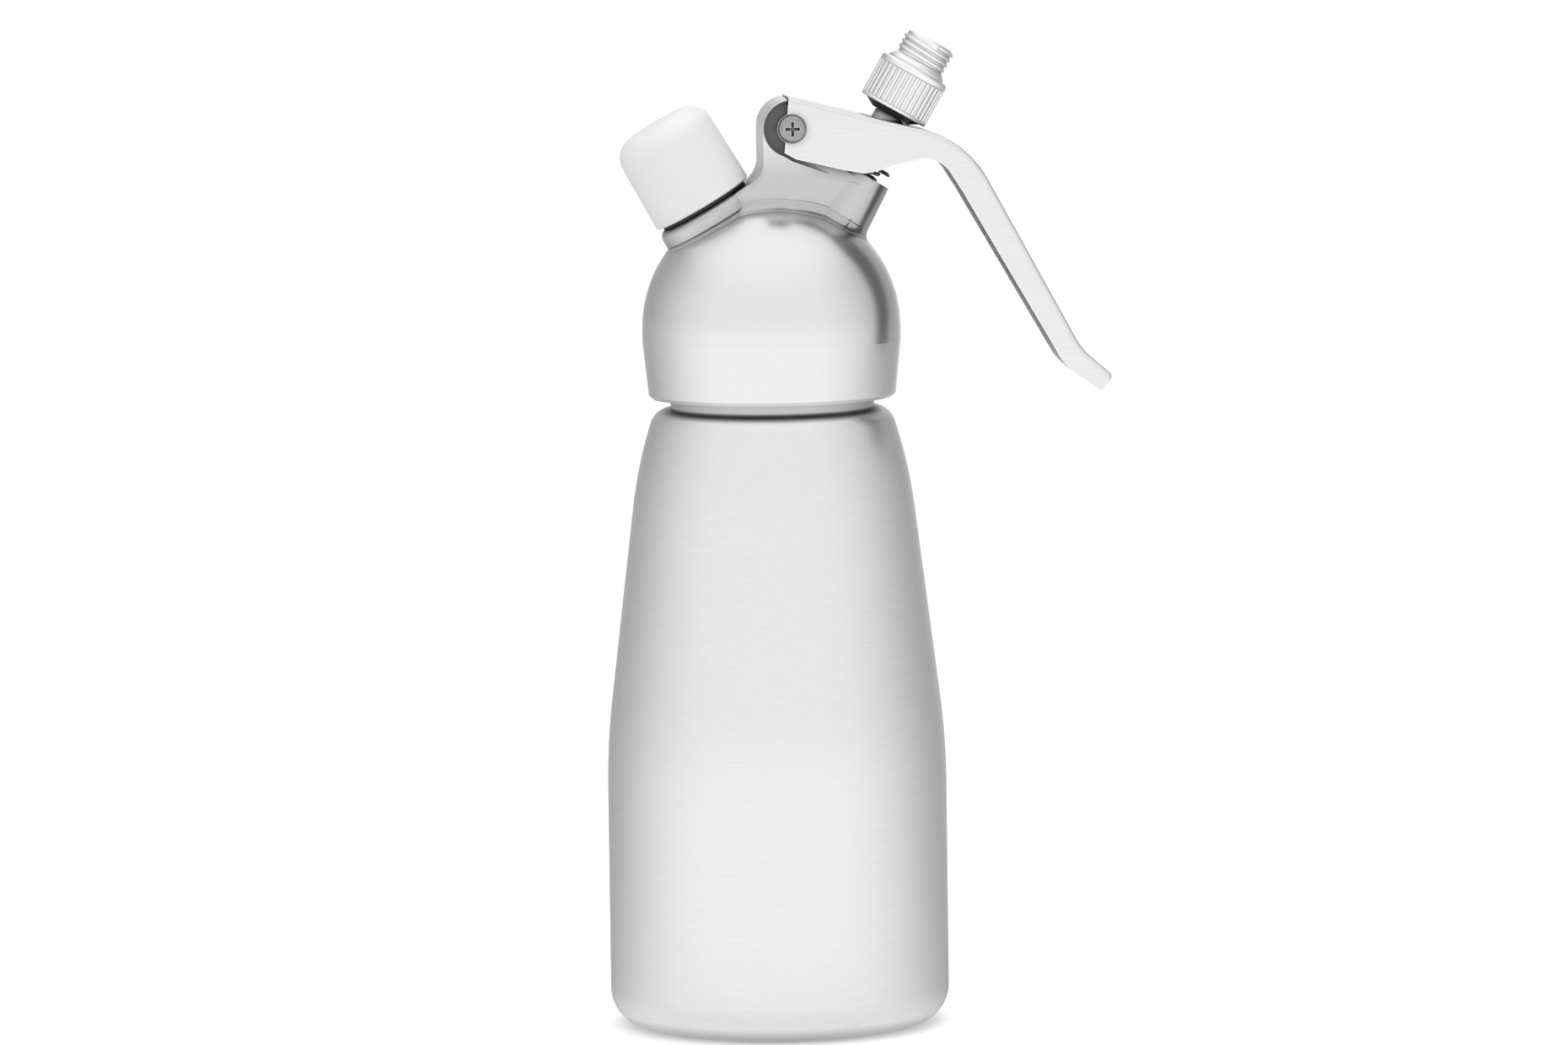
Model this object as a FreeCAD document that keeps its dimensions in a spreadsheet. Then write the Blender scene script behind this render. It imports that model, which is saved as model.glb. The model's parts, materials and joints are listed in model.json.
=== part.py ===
import FreeCAD, Part
import math
import os
import re
import Sketcher

# Cream whipper: brushed bottle, screw-on head, squeeze lever, dispensing valve, nozzle adapter
# and capped charger inlet. Millimetres, +Z up, origin at the centre of the base, lever towards +X.

os.makedirs("parts", exist_ok=True)
doc = FreeCAD.newDocument("cream_whipper")
sizes = doc.addObject("Spreadsheet::Sheet", "sizes")

driving = {
    # bottle
    "bottleRadius": 40.0, "baseRound": 8.9, "bottleWall": 1.6, "waistStart": 57.0,
    "waistRound": 168.0, "shoulderRound": 110.0, "shoulderAngle": 17.8, "lipHeight": 142.84,
    "lipRound": 5.0, "neckRadius": 24.0, "neckWall": 3.6, "neckLength": 21.16,
    # head
    "skirtGap": 5.76, "skirtWall": 4.7, "skirtLip": 0.8, "domeBulge": 1.3, "domeOffset": 1.0,
    "domeShoulder": 3.0, "threadClearance": 0.4, "gasketThickness": 2.0, "cavityStep": 3.5,
    "cavityFlat": 8.0, "seatGap": 0.02,
    # bridge and lug of the head
    "pivotAcross": 4.7, "pivotRise": 10.8, "earRadius": 7.1, "earBack": 2.4, "lugRadius": 5.4,
    "lugHalfWidth": 8.2, "bridgeHalfWidth": 10.0, "bridgeLength": 18.0, "bridgeTaper": 9.0,
    "bridgeOffset": 17.0, "castingRound": 1.0, "roundStart": 11.5, "stopAcross": 3.6,
    "bridgeBlend": 3.0, "pocketRadius": 6.5, "pocketDepth": 7.6, "pocketSlope": 20.0,
    "pocketLength": 26.0,
    # dispensing valve
    "valveAngle": 30.0, "valveBossTop": 41.8, "valveBossRadius": 8.2, "bossDraft": 1.0,
    "springWell": 5.6, "springWellFloor": 30.0, "stemRadius": 3.0, "runningGap": 0.05,
    "flowBore": 4.2, "edgeBreak": 0.6, "valveSeat": 22.0, "seatPocket": 7.6, "pocketFoot": 9.0, "discRadius": 7.0,
    "discLift": 2.3, "discThickness": 0.9, "discRim": 0.4, "collarRadius": 5.6,
    "collarFoot": 4.0, "collarTop": 52.4, "neckOfStem": 3.7, "stemBore": 1.6, "stemEnd": 15.2,
    "stemThread": 2.2, "sealRadius": 6.5, "sealThickness": 2.0, "sealWasherThickness": 1.0,
    "sealWasherRadius": 5.5, "stemNutFlats": 7.0, "stemNutThickness": 3.0, "guideHeight": 4.0,
    "ringWire": 1.05, "portRadius": 0.9, "portRise": 4.0, "springWire": 0.9, "springRadius": 4.5,
    "springTurns": 6.0, "springTail": 1.0, "springGap": 0.1,
    # nozzle adapter
    "adapterBottom": 58.4, "adapterRadius": 8.55, "adapterSkirt": 11.1, "adapterShoulder": 7.1,
    "nozzleThreadRadius": 6.25, "nozzleThreadStart": 12.6, "adapterHeight": 18.7,
    "adapterBore": 2.4, "stemTip": 70.0, "fluteCount": 30, "fluteRadius": 0.5, "fluteStop": 1.6,
    "coneHeight": 1.4, "coneFoot": 4.6, "coneTop": 7.0,
    # charger inlet
    "inletAngle": 30.0, "inletOffset": 2.0, "inletBossTop": 30.9, "inletBossRadius": 11.9,
    "bossProud": 0.3, "inletRim": 0.6, "inletRimHeight": 4.0, "inletRimRound": 2.2, "spigotRadius": 10.0,
    "spigotShank": 9.0, "spigotFoot": 25.5, "spigotTop": 45.0, "socketRadius": 5.2,
    "socketFloor": 36.0, "gasBore": 2.0, "inletSealHeight": 1.6, "inletSealBore": 2.3,
    "sealPocket": 4.9, "sealPocketHeight": 3.6,
    "pinRadius": 0.9, "pinBore": 0.35, "pinFlange": 3.2, "pinFlangeHeight": 1.4,
    "pinHeight": 3.4, "pinPoint": 1.6, "inletRingRadius": 10.9, "inletRingThickness": 0.7,
    "valvePlugRadius": 3.6, "valvePlugHeight": 3.0, "innerInlet": 17.0, "innerInletBore": 6.6,
    # protective cap
    "capGap": 0.8, "capRadius": 12.35, "capTopRadius": 12.0, "capHeight": 21.8, "capRound": 5.5,
    "capWall": 1.7, "capChamfer": 3.0, "capThreadClearance": 0.35,
    # lever: web slopes and lengths, and the lower edge of the cheeks measured from the pivot
    "leverHalfWidth": 10.0, "sheet": 1.5, "sheetBend": 1.1, "leverBack": 0.7, "leverTop": 7.4,
    "webSlope": 14.37, "webLength": 42.92, "webRound": 24.0, "gripSlope": 61.61,
    "gripLength": 56.2, "flickSlope": 41.35, "flickLength": 8.8, "flickRound": 14.0,
    "heelAcross": 1.8, "heelDrop": 5.6, "soleAcross": 0.8, "soleDrop": 7.1, "sillAcross": 11.8,
    "sillDrop": 9.8, "cheekAcross": 16.8, "cheekDrop": 10.7, "cheekRound": 26.0,
    "archAcross": 23.7, "archDrop": 9.0, "crestAcross": 30.7, "crestDrop": 7.5,
    "crestRound": 7.5, "throatAcross": 36.8, "throatDrop": 10.4, "gripStart": 10.2,
    "gripDepth": 6.6, "gripEndDepth": 5.4, "gripEndRound": 16.0, "flickStart": 4.2,
    "flickDepth": 5.2, "tipDepth": 4.8, "tipRound": 1.2, "hollowReach": 18.0, "hollowDrop": 25.0,
    "lobeRadius": 3.5, "slotHalfWidth": 4.5, "slotBack": 6.3, "slotFront": 5.4,
    "slotPlace": 51.8, "slotDepth": 9.0,
    # pivot
    "screwRadius": 2.0, "screwHead": 3.1, "screwHeadHeight": 1.3, "screwRound": 1.2,
    "screwEnd": 0.8, "screwCross": 0.7, "screwCrossDepth": 0.7, "washerRadius": 3.4,
    "washerThickness": 0.4, "bushRadius": 2.8, "nutFlats": 6.0, "nutThickness": 2.2,
}

# Sizes that follow from the ones above
derived = {
    "neckBore": "neckRadius - neckWall",
    "neckTop": "lipHeight + neckLength",
    "lipFootRadius": "neckRadius + lipRound * cos(shoulderAngle)",
    "lipTop": "lipHeight + lipRound * (1 - sin(shoulderAngle))",
    "taperRun": "lipFootRadius - shoulderRound * cos(shoulderAngle) - bottleRadius + waistRound",
    "taperRise": "lipHeight - shoulderRound * sin(shoulderAngle) - waistStart",
    "taperReach": "sqrt(taperRun ^ 2 + taperRise ^ 2)",
    "taperAngle": "atan(taperRise / taperRun) - acos((waistRound - shoulderRound) / taperReach)",
    "taperFoot": "waistStart + waistRound * sin(taperAngle)",
    "taperFootRadius": "bottleRadius - waistRound * (1 - cos(taperAngle))",
    "shoulderStart": "lipHeight - shoulderRound * (sin(shoulderAngle) - sin(taperAngle))",
    "shoulderFootRadius": "lipFootRadius + shoulderRound * (cos(taperAngle) - cos(shoulderAngle))",
    "wallAcross": "bottleWall * cos(taperAngle)",
    "wallUp": "bottleWall * sin(taperAngle)",
    "headBottom": "lipHeight + skirtGap",
    "threadBore": "neckRadius + threadClearance",
    "skirtRadius": "threadBore + skirtWall",
    "domeRadius": "skirtRadius + domeBulge",
    "domeCentre": "neckTop + domeOffset",
    "cavityRadius": "neckRadius - cavityStep",
    "cavityTop": "domeCentre + sqrt(cavityRadius ^ 2 - cavityFlat ^ 2)",
    "cavityBore": "sqrt(cavityRadius ^ 2 - 4 * domeOffset ^ 2)",
    "gasketSeat": "neckTop + gasketThickness + seatGap",
    "bridgeFoot": "domeCentre + bridgeOffset",
    "bossRise": "valveBossTop * cos(valveAngle)",
    "pivotHeight": "domeCentre + bossRise + pivotRise",
    "inletCentre": "domeCentre + inletOffset",
    "bossFace": "inletBossTop - bossProud",
    "planRun": "2 * bridgeTaper / (bridgeHalfWidth - lugHalfWidth)",
    "discBottom": "valveBossTop + discLift",
    "sealBottom": "valveSeat - sealThickness - 2 * seatGap",
    "nutTop": "sealBottom - sealWasherThickness",
    "capBase": "inletBossTop + capGap",
    "capTop": "capBase + capHeight",
    "capBore": "spigotRadius + capThreadClearance",
    "headSeat": "leverHalfWidth + washerThickness",
    "webStartX": "pivotAcross - leverBack",
    "webStartZ": "pivotHeight + leverTop",
    "bendX": "webStartX + webLength * cos(webSlope)",
    "bendZ": "webStartZ - webLength * sin(webSlope)",
    "webRun": "webRound * tan((gripSlope - webSlope) / 2)",
    "flickX": "bendX + gripLength * cos(gripSlope)",
    "flickZ": "bendZ - gripLength * sin(gripSlope)",
    "flickRun": "flickRound * tan((gripSlope - flickSlope) / 2)",
}
for row, (name, value) in enumerate(driving.items(), start=1):
    sizes.set(f"A{row}", name)
    sizes.set(f"B{row}", str(value))
    sizes.setAlias(f"B{row}", name)
doc.recompute()


def cell(text):
    """Turn plain size names in an expression into references to the sheet."""
    def reference(found):
        word = found.group(0)
        if word in driving:
            return "sizes." + word
        return "(" + cell(derived[word]) + ")" if word in derived else word
    return re.sub(r"[A-Za-z]\w*", reference, text)


def value(text):
    return float(sizes.evalExpression(cell(str(text))))


def bind(item, **fields):
    """Bind properties of an object to expressions of the sheet's sizes."""
    for field, text in fields.items():
        item.setExpression(field, cell(str(text)))
    return item


def plane_of(body, role):
    return [part for part in body.Origin.OriginFeatures if part.Role == role][0]


def outline(body, name, steps, role="XZ_Plane"):
    """Closed sketch. Each step is (across, up) or (across, up, radius, side) where the edge that
    leaves the point is an arc; side is 1 when the arc turns left and -1 when it turns right."""
    sketch = body.newObject("Sketcher::SketchObject", name)
    sketch.AttachmentSupport = [(plane_of(body, role), "")]
    sketch.MapMode = "FlatFace"
    spots = [(value(step[0]), value(step[1])) for step in steps]
    count = len(steps)
    for index, step in enumerate(steps):
        here, there = spots[index], spots[(index + 1) % count]
        start = FreeCAD.Vector(here[0], here[1], 0)
        stop = FreeCAD.Vector(there[0], there[1], 0)
        if len(step) == 2:
            sketch.addGeometry(Part.LineSegment(start, stop))
            continue
        radius, side = value(step[2]), step[3]
        chord = stop - start
        half = chord.Length / 2
        rise = math.sqrt(max(radius * radius - half * half, 0))
        across = FreeCAD.Vector(-chord.y, chord.x, 0).normalize()
        centre = start + chord * 0.5 + across * (rise * side)
        first = math.atan2(start.y - centre.y, start.x - centre.x)
        last = math.atan2(stop.y - centre.y, stop.x - centre.x)
        circle = Part.Circle(centre, FreeCAD.Vector(0, 0, 1), radius)
        if side > 0:
            sketch.addGeometry(Part.ArcOfCircle(circle, first, last))
        else:
            sketch.addGeometry(Part.ArcOfCircle(circle, last, first))
    for index, step in enumerate(steps):
        turned = len(step) > 2 and step[3] < 0
        begin = 2 if turned else 1
        following = (index + 1) % count
        next_turned = len(steps[following]) > 2 and steps[following][3] < 0
        end = 1 if turned else 2
        sketch.addConstraint(Sketcher.Constraint("Coincident", index, end, following,
                                                 2 if next_turned else 1))
        for kind, text in (("DistanceX", step[0]), ("DistanceY", step[1])):
            spot = sketch.addConstraint(Sketcher.Constraint(kind, -1, 1, index, begin, value(text)))
            sketch.setExpression(f"Constraints[{spot}]", cell(str(text)))
        if len(step) > 2:
            spot = sketch.addConstraint(Sketcher.Constraint("Radius", index, value(step[2])))
            sketch.setExpression(f"Constraints[{spot}]", cell(str(step[2])))
    return sketch


def new_body(name):
    body = doc.addObject("PartDesign::Body", name)
    body.Label = name
    return body


def revolved(name, steps):
    """A body turned about its own Z axis from one outline."""
    body = new_body(name)
    turn = body.newObject("PartDesign::Revolution", name + "_turn")
    turn.Profile = outline(body, name + "_profile", steps)
    turn.ReferenceAxis = (turn.Profile[0], ["V_Axis"])
    turn.Angle = 360
    body.Tip = turn
    return body


def padded(name, steps, width, role="XZ_Plane"):
    """A body padded evenly to both sides of a plane; width is its whole width."""
    body = new_body(name)
    pad = body.newObject("PartDesign::Pad", name + "_pad")
    pad.Profile = outline(body, name + "_outline", steps, role)
    pad.Midplane = True
    bind(pad, Length=width)
    body.Tip = pad
    return body


def cut_through(body, name, steps, width, role="XZ_Plane"):
    pocket = body.newObject("PartDesign::Pocket", name)
    pocket.Profile = outline(body, name + "_outline", steps, role)
    pocket.Midplane = True
    bind(pocket, Length=width)
    body.Tip = pocket
    return pocket


def rounded(body, name, radius, chosen):
    """Round the edges of a body's tip that a test picks."""
    doc.recompute()
    base = body.Tip
    names = [f"Edge{number}" for number, edge in enumerate(base.Shape.Edges, start=1) if chosen(edge)]
    blend = body.newObject("PartDesign::Fillet", name)
    blend.Base = (base, names)
    bind(blend, Radius=radius)
    body.Tip = blend
    return blend


def boolean(kind, name, base, *tools):
    """A cut or a fuse of document objects."""
    if kind == "cut" and len(tools) == 1:
        item = doc.addObject("Part::Cut", name)
        item.Base, item.Tool = base, tools[0]
    elif kind == "cut":
        together = doc.addObject("Part::MultiFuse", name + "_tools")
        together.Shapes = list(tools)
        item = doc.addObject("Part::Cut", name)
        item.Base, item.Tool = base, together
    elif kind == "common":
        item = doc.addObject("Part::MultiCommon", name)
        item.Shapes = [base] + list(tools)
    else:
        item = doc.addObject("Part::MultiFuse", name)
        item.Shapes = [base] + list(tools)
    item.Label = name
    return item


def cylinder(name, radius, height, start=0):
    item = doc.addObject("Part::Cylinder", name)
    bind(item, Radius=radius, Height=height)
    item.setExpression("Placement.Base.z", cell(str(start)))
    return item


def on_axis(item, kind):
    """Stand an object that was made along +Z on the valve's or the inlet's slanted axis."""
    if kind == "valve":
        item.Placement = FreeCAD.Placement(FreeCAD.Vector(0, 0, value("domeCentre")),
                                           FreeCAD.Rotation(FreeCAD.Vector(0, 1, 0), value("valveAngle")))
        item.setExpression("Placement.Base.z", cell("domeCentre"))
        item.setExpression("Placement.Rotation.Angle", cell("valveAngle"))
    else:
        item.Placement = FreeCAD.Placement(FreeCAD.Vector(0, 0, value("inletCentre")),
                                           FreeCAD.Rotation(FreeCAD.Vector(0, -1, 0), value("inletAngle")))
        item.setExpression("Placement.Base.z", cell("inletCentre"))
        item.setExpression("Placement.Rotation.Angle", cell("inletAngle"))
    return item


def at_pivot(item):
    """Lay an object that was made along +Z on the lever's pivot, its +Z towards the front."""
    item.Placement = FreeCAD.Placement(FreeCAD.Vector(value("pivotAcross"), 0, value("pivotHeight")),
                                       FreeCAD.Rotation(FreeCAD.Vector(1, 0, 0), 90))
    item.setExpression("Placement.Base.x", cell("pivotAcross"))
    item.setExpression("Placement.Base.z", cell("pivotHeight"))
    return item


pieces = []


def keep(item, name):
    item.Label = name
    pieces.append((name, item))
    return item


# Bottle: one drawn shell with a rounded base, a slim taper and a turned neck
bottle = revolved("bottle", [
    ("0", "0"),
    ("bottleRadius - baseRound", "0", "baseRound", 1),
    ("bottleRadius", "baseRound"),
    ("bottleRadius", "waistStart", "waistRound", 1),
    ("taperFootRadius", "taperFoot"),
    ("shoulderFootRadius", "shoulderStart", "shoulderRound", 1),
    ("lipFootRadius", "lipHeight", "lipRound", 1),
    ("neckRadius", "lipTop"),
    ("neckRadius", "neckTop"),
    ("neckBore", "neckTop"),
    ("neckBore", "lipHeight + bottleWall"),
    ("shoulderFootRadius - wallAcross", "shoulderStart - wallUp"),
    ("taperFootRadius - wallAcross", "taperFoot - wallUp", "waistRound - bottleWall", -1),
    ("bottleRadius - bottleWall", "waistStart"),
    ("bottleRadius - bottleWall", "baseRound", "baseRound - bottleWall", -1),
    ("bottleRadius - baseRound", "bottleWall"),
    ("0", "bottleWall"),
])
keep(bottle, "bottle")

# Seal between the neck's rim and the head
keep(revolved("head_gasket", [
    ("neckBore", "neckTop + seatGap"), ("neckRadius", "neckTop + seatGap"),
    ("neckRadius", "neckTop + gasketThickness"), ("neckBore", "neckTop + gasketThickness"),
]), "head_gasket")

# Head: dome and skirt, bridge with the lever's lug, valve boss and inlet boss
dome = revolved("dome_shell", [
    ("threadBore", "headBottom"),
    ("skirtRadius - skirtLip", "headBottom"),
    ("skirtRadius", "headBottom + skirtLip"),
    ("domeRadius", "domeCentre - domeShoulder"),
    ("domeRadius", "domeCentre", "domeRadius", 1),
    ("0", "domeCentre + domeRadius"),
    ("0", "cavityTop"),
    ("cavityFlat", "cavityTop", "cavityRadius", -1),
    ("cavityBore", "domeCentre + 2 * domeOffset"),
    ("cavityBore", "gasketSeat"),
    ("threadBore", "gasketSeat"),
])
bridgeSide = padded("bridge_side", [
    ("-earBack", "pivotHeight"),
    ("-earBack", "inletCentre + bossFace / cos(inletAngle) - earBack * tan(inletAngle) + bridgeBlend",
     "bridgeBlend * 2", -1),
    ("-earBack - bridgeBlend",
     "inletCentre + bossFace / cos(inletAngle) - (earBack + bridgeBlend) * tan(inletAngle)"),
    ("-bossFace * sin(inletAngle)",
     "inletCentre + bossFace * cos(inletAngle)"),
    ("-bossFace * sin(inletAngle)", "bridgeFoot"),
    ("valveBossTop * sin(valveAngle) - valveBossRadius", "bridgeFoot"),
    ("valveBossTop * sin(valveAngle) - 1", "domeCentre + valveBossTop * cos(valveAngle) - 1"),
    ("valveBossTop * sin(valveAngle) - (valveBossRadius - 1) * cos(valveAngle)",
     "domeCentre + valveBossTop * cos(valveAngle) + (valveBossRadius - 1) * sin(valveAngle) - 1"),
    ("pivotAcross + lugRadius", "pivotHeight - lugRadius * 0.8"),
    ("pivotAcross + lugRadius", "pivotHeight", "lugRadius", 1),
    ("stopAcross", "pivotHeight + sqrt(lugRadius * lugRadius - (pivotAcross - stopAcross) ^ 2)"),
    ("stopAcross", "pivotHeight + sqrt(earRadius * earRadius - (pivotAcross - stopAcross) ^ 2)",
     "earRadius", 1),
], "2 * bridgeHalfWidth")
rounded(bridgeSide, "bridge_side_rounds", "castingRound",
        lambda edge: abs(abs(edge.CenterOfMass.y) - value("bridgeHalfWidth")) < 0.01
        and edge.BoundBox.ZMin > value("bridgeFoot + roundStart")
        and edge.BoundBox.XMin < -value("earBack") + 0.1)
bridgePlan = padded("bridge_plan", [
    ("-2 * bridgeLength", "-bridgeHalfWidth - 2"), ("pivotAcross - planRun", "-bridgeHalfWidth - 2"),
    ("pivotAcross + bridgeTaper", "-lugHalfWidth"), ("2 * bridgeLength", "-lugHalfWidth"),
    ("2 * bridgeLength", "lugHalfWidth"), ("pivotAcross + bridgeTaper", "lugHalfWidth"),
    ("pivotAcross - planRun", "bridgeHalfWidth + 2"), ("-2 * bridgeLength", "bridgeHalfWidth + 2"),
], "2 * pivotHeight + 40", "XY_Plane")
bridge = boolean("common", "bridge", bridgeSide, bridgePlan)
valveBoss = doc.addObject("Part::Cone", "valve_boss")
bind(valveBoss, Radius1="valveBossRadius + bossDraft", Radius2="valveBossRadius",
     Height="valveBossTop - valveSeat")
on_axis(valveBoss, "valve")
valveBoss.setExpression("Placement.Base.x", cell("valveSeat * sin(valveAngle)"))
valveBoss.setExpression("Placement.Base.z", cell("domeCentre + valveSeat * cos(valveAngle)"))
inletBoss = on_axis(revolved("inlet_boss", [
    ("0", "innerInlet"), ("inletBossRadius", "innerInlet"),
    ("inletBossRadius", "inletBossTop - inletRimHeight - 1"),
    ("inletBossRadius + inletRim", "inletBossTop - inletRimHeight"),
    ("inletBossRadius + inletRim", "inletBossTop - inletRimHeight / 2", "inletRimRound", 1),
    ("inletBossRadius - inletRim - 0.8", "inletBossTop"), ("0", "inletBossTop"),
]), "inlet")
domeBridge = boolean("fuse", "dome_bridge", dome, bridge)
bossPair = boolean("fuse", "boss_pair", valveBoss, inletBoss)
headBlank = boolean("fuse", "head_blank", domeBridge, bossPair)

pocketBlock = padded("pocket_block", [
    ("pivotAcross + 0.3", "pivotHeight + pocketRadius + 4"),
    ("stopAcross", "pivotHeight + sqrt(pocketRadius * pocketRadius - (pivotAcross - stopAcross) ^ 2)",
     "pocketRadius", 1),
    ("pivotAcross - pocketRadius * sin(valveAngle)", "pivotHeight - pocketRadius * cos(valveAngle)"),
    ("pivotAcross", "pivotHeight - pocketDepth"),
    ("pivotAcross + pocketLength", "pivotHeight - pocketDepth - pocketLength * tan(pocketSlope)"),
    ("pivotAcross + pocketLength", "pivotHeight + pocketRadius + 4"),
], "2 * bridgeHalfWidth + 6")
pocketCore = doc.addObject("Part::Box", "pocket_core")
bind(pocketCore, Length="bridgeLength + 2 * pocketLength", Width="2 * lugHalfWidth",
     Height="pocketRadius + 2 * pocketLength")
pocketCore.setExpression("Placement.Base.x", cell("-bridgeLength"))
pocketCore.setExpression("Placement.Base.y", cell("-lugHalfWidth"))
pocketCore.setExpression("Placement.Base.z", cell("pivotHeight - pocketDepth - pocketLength"))
pockets = boolean("cut", "pockets", pocketBlock, pocketCore)

valveBores = on_axis(revolved("valve_bores", [
    ("0", "pocketFoot"), ("seatPocket", "pocketFoot"), ("seatPocket", "valveSeat"),
    ("flowBore", "valveSeat"),
    ("flowBore", "springWellFloor"), ("springWell", "springWellFloor"),
    ("springWell", "valveBossTop - edgeBreak"), ("springWell + edgeBreak", "valveBossTop"),
    ("springWell + edgeBreak", "valveBossTop + 6"), ("0", "valveBossTop + 6"),
]), "valve")
inletBores = on_axis(revolved("inlet_bores", [
    ("0", "pocketFoot"), ("innerInletBore", "pocketFoot"), ("innerInletBore", "innerInlet + 1"),
    ("gasBore", "innerInlet + 1"),
    ("gasBore", "spigotFoot - valvePlugHeight"), ("valvePlugRadius + seatGap", "spigotFoot - valvePlugHeight"),
    ("valvePlugRadius + seatGap", "spigotFoot"), ("spigotShank", "spigotFoot"),
    ("spigotShank", "inletBossTop + 6"), ("0", "inletBossTop + 6"),
]), "inlet")
pivotHole = at_pivot(cylinder("pivot_hole", "bushRadius", "4 * bridgeHalfWidth"))
pivotHole.setExpression("Placement.Base.y", cell("2 * bridgeHalfWidth"))
head = boolean("cut", "head_casting", headBlank, pockets, valveBores, inletBores, pivotHole)
keep(head, "head_casting")

# Dispensing valve: spring disc, hollow stem with side ports, seal, washer and nut
stemTurn = revolved("stem_turn", [
    ("0", "stemEnd"), ("stemThread", "stemEnd"), ("stemThread", "sealBottom"),
    ("stemRadius", "sealBottom"), ("stemRadius", "discBottom + discThickness"),
    ("neckOfStem + 1", "discBottom + discThickness + seatGap"),
    ("collarRadius", "discBottom + collarFoot"),
    ("collarRadius", "collarTop"), ("neckOfStem", "collarTop"),
    ("neckOfStem", "adapterBottom - coneHeight"), ("stemRadius", "adapterBottom - coneHeight + seatGap"),
    ("stemRadius", "stemTip"), ("stemBore", "stemTip"),
    ("stemBore", "valveSeat + 2"), ("0", "valveSeat + 2 - stemBore"),
])
ports = []
for number in range(2):
    port = cylinder(f"stem_port_{number}", "portRadius", "4 * stemRadius")
    port.Placement = FreeCAD.Placement(FreeCAD.Vector(0, 0, 0),
                                       FreeCAD.Rotation(FreeCAD.Vector(0, 1, 0), 90)
                                       if number else FreeCAD.Rotation(FreeCAD.Vector(1, 0, 0), -90))
    port.setExpression("Placement.Base.z", cell("valveSeat + portRise"))
    port.setExpression("Placement.Base.x" if number else "Placement.Base.y", cell("-2 * stemRadius"))
    ports.append(port)
keep(on_axis(boolean("cut", "valve_stem", stemTurn, *ports), "valve"), "valve_stem")
keep(on_axis(revolved("press_disc", [
    ("stemRadius", "discBottom"), ("discRadius", "discBottom"),
    ("discRadius", "discBottom + discRim"), ("discRadius - edgeBreak", "discBottom + discThickness"),
    ("stemRadius", "discBottom + discThickness"),
]), "valve"), "press_disc")
keep(on_axis(revolved("valve_seal", [
    ("stemRadius", "sealBottom"), ("sealRadius", "sealBottom"),
    ("sealRadius", "valveSeat - 2 * seatGap"), ("stemRadius", "valveSeat - 2 * seatGap"),
]), "valve"), "valve_seal")
keep(on_axis(revolved("seal_washer", [
    ("stemThread", "nutTop"), ("sealWasherRadius", "nutTop"),
    ("sealWasherRadius", "sealBottom"), ("stemThread", "sealBottom"),
]), "valve"), "seal_washer")


def hex_nut(name, flats, thickness, bore, start):
    prism = doc.addObject("Part::Prism", name + "_prism")
    prism.Polygon = 6
    bind(prism, Circumradius=f"{flats} / 2 / cos(30)", Height=thickness)
    prism.setExpression("Placement.Base.z", cell(start))
    hole = cylinder(name + "_hole", bore, f"{thickness} + 2", f"{start} - 1")
    crown = doc.addObject("Part::Cone", name + "_crown")
    bind(crown, Radius1=f"{flats} / 2 / cos(30) + {thickness}", Radius2=f"{flats} / 2", Height=thickness)
    crown.setExpression("Placement.Base.z", cell(start))
    blank = boolean("common", name + "_blank", prism, crown)
    return boolean("cut", name, blank, hole)


keep(on_axis(hex_nut("stem_nut", "stemNutFlats", "stemNutThickness", "stemThread",
                     "nutTop - stemNutThickness"), "valve"), "stem_nut")

# Guide bush with its O-ring, fixed in the boss under the return spring
keep(on_axis(revolved("valve_guide", [
    ("stemRadius + runningGap", "springWellFloor"), ("springWell", "springWellFloor"),
    ("springWell", "springWellFloor + guideHeight - edgeBreak"),
    ("springWell - edgeBreak", "springWellFloor + guideHeight"),
    ("stemRadius + runningGap", "springWellFloor + guideHeight"),
]), "valve"), "valve_guide")
keep(on_axis(revolved("stem_ring", [
    ("stemRadius + runningGap", "springWellFloor - ringWire / 2", "ringWire / 2", 1),
    ("stemRadius + runningGap + ringWire", "springWellFloor - ringWire / 2", "ringWire / 2", 1),
]), "valve"), "stem_ring")


def wound_spring(name, radius, wire, start, length, turns, tail):
    """Open coil made of one unbroken tube on a helix, with a short straight tail at each end."""
    pitch = (length - wire) / turns
    quarters = int(round(turns * 4))

    def spot(quarter):
        angle = quarter * math.pi / 2
        return FreeCAD.Vector(radius * math.cos(angle), radius * math.sin(angle),
                              start + wire / 2 + pitch * quarter / 4)

    arcs = [Part.Arc(spot(n), spot(n + 0.5), spot(n + 1)).toShape() for n in range(quarters)]
    leading = arcs[0].tangentAt(arcs[0].FirstParameter)
    trailing = arcs[-1].tangentAt(arcs[-1].LastParameter)
    first = spot(0) - leading * tail
    last = spot(quarters) + trailing * tail
    spine = Part.Wire([Part.makeLine(first, spot(0))] + arcs + [Part.makeLine(spot(quarters), last)])
    section = Part.Wire([Part.makeCircle(wire / 2, first, leading)])
    item = doc.addObject("Part::Feature", name)
    item.Shape = spine.makePipeShell([section], True, False)
    slope = math.atan2(pitch, 2 * math.pi * radius)
    print(name, "least gap to itself", round(pitch * math.cos(slope) - wire, 3))
    return item


springStart = value("springWellFloor + guideHeight + springGap")
springLength = value("discBottom - springGap") - springStart
spring = wound_spring("return_spring", value("springRadius"), value("springWire"), springStart,
                      springLength, value("springTurns"), value("springTail"))
keep(on_axis(spring, "valve"), "return_spring")

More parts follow.
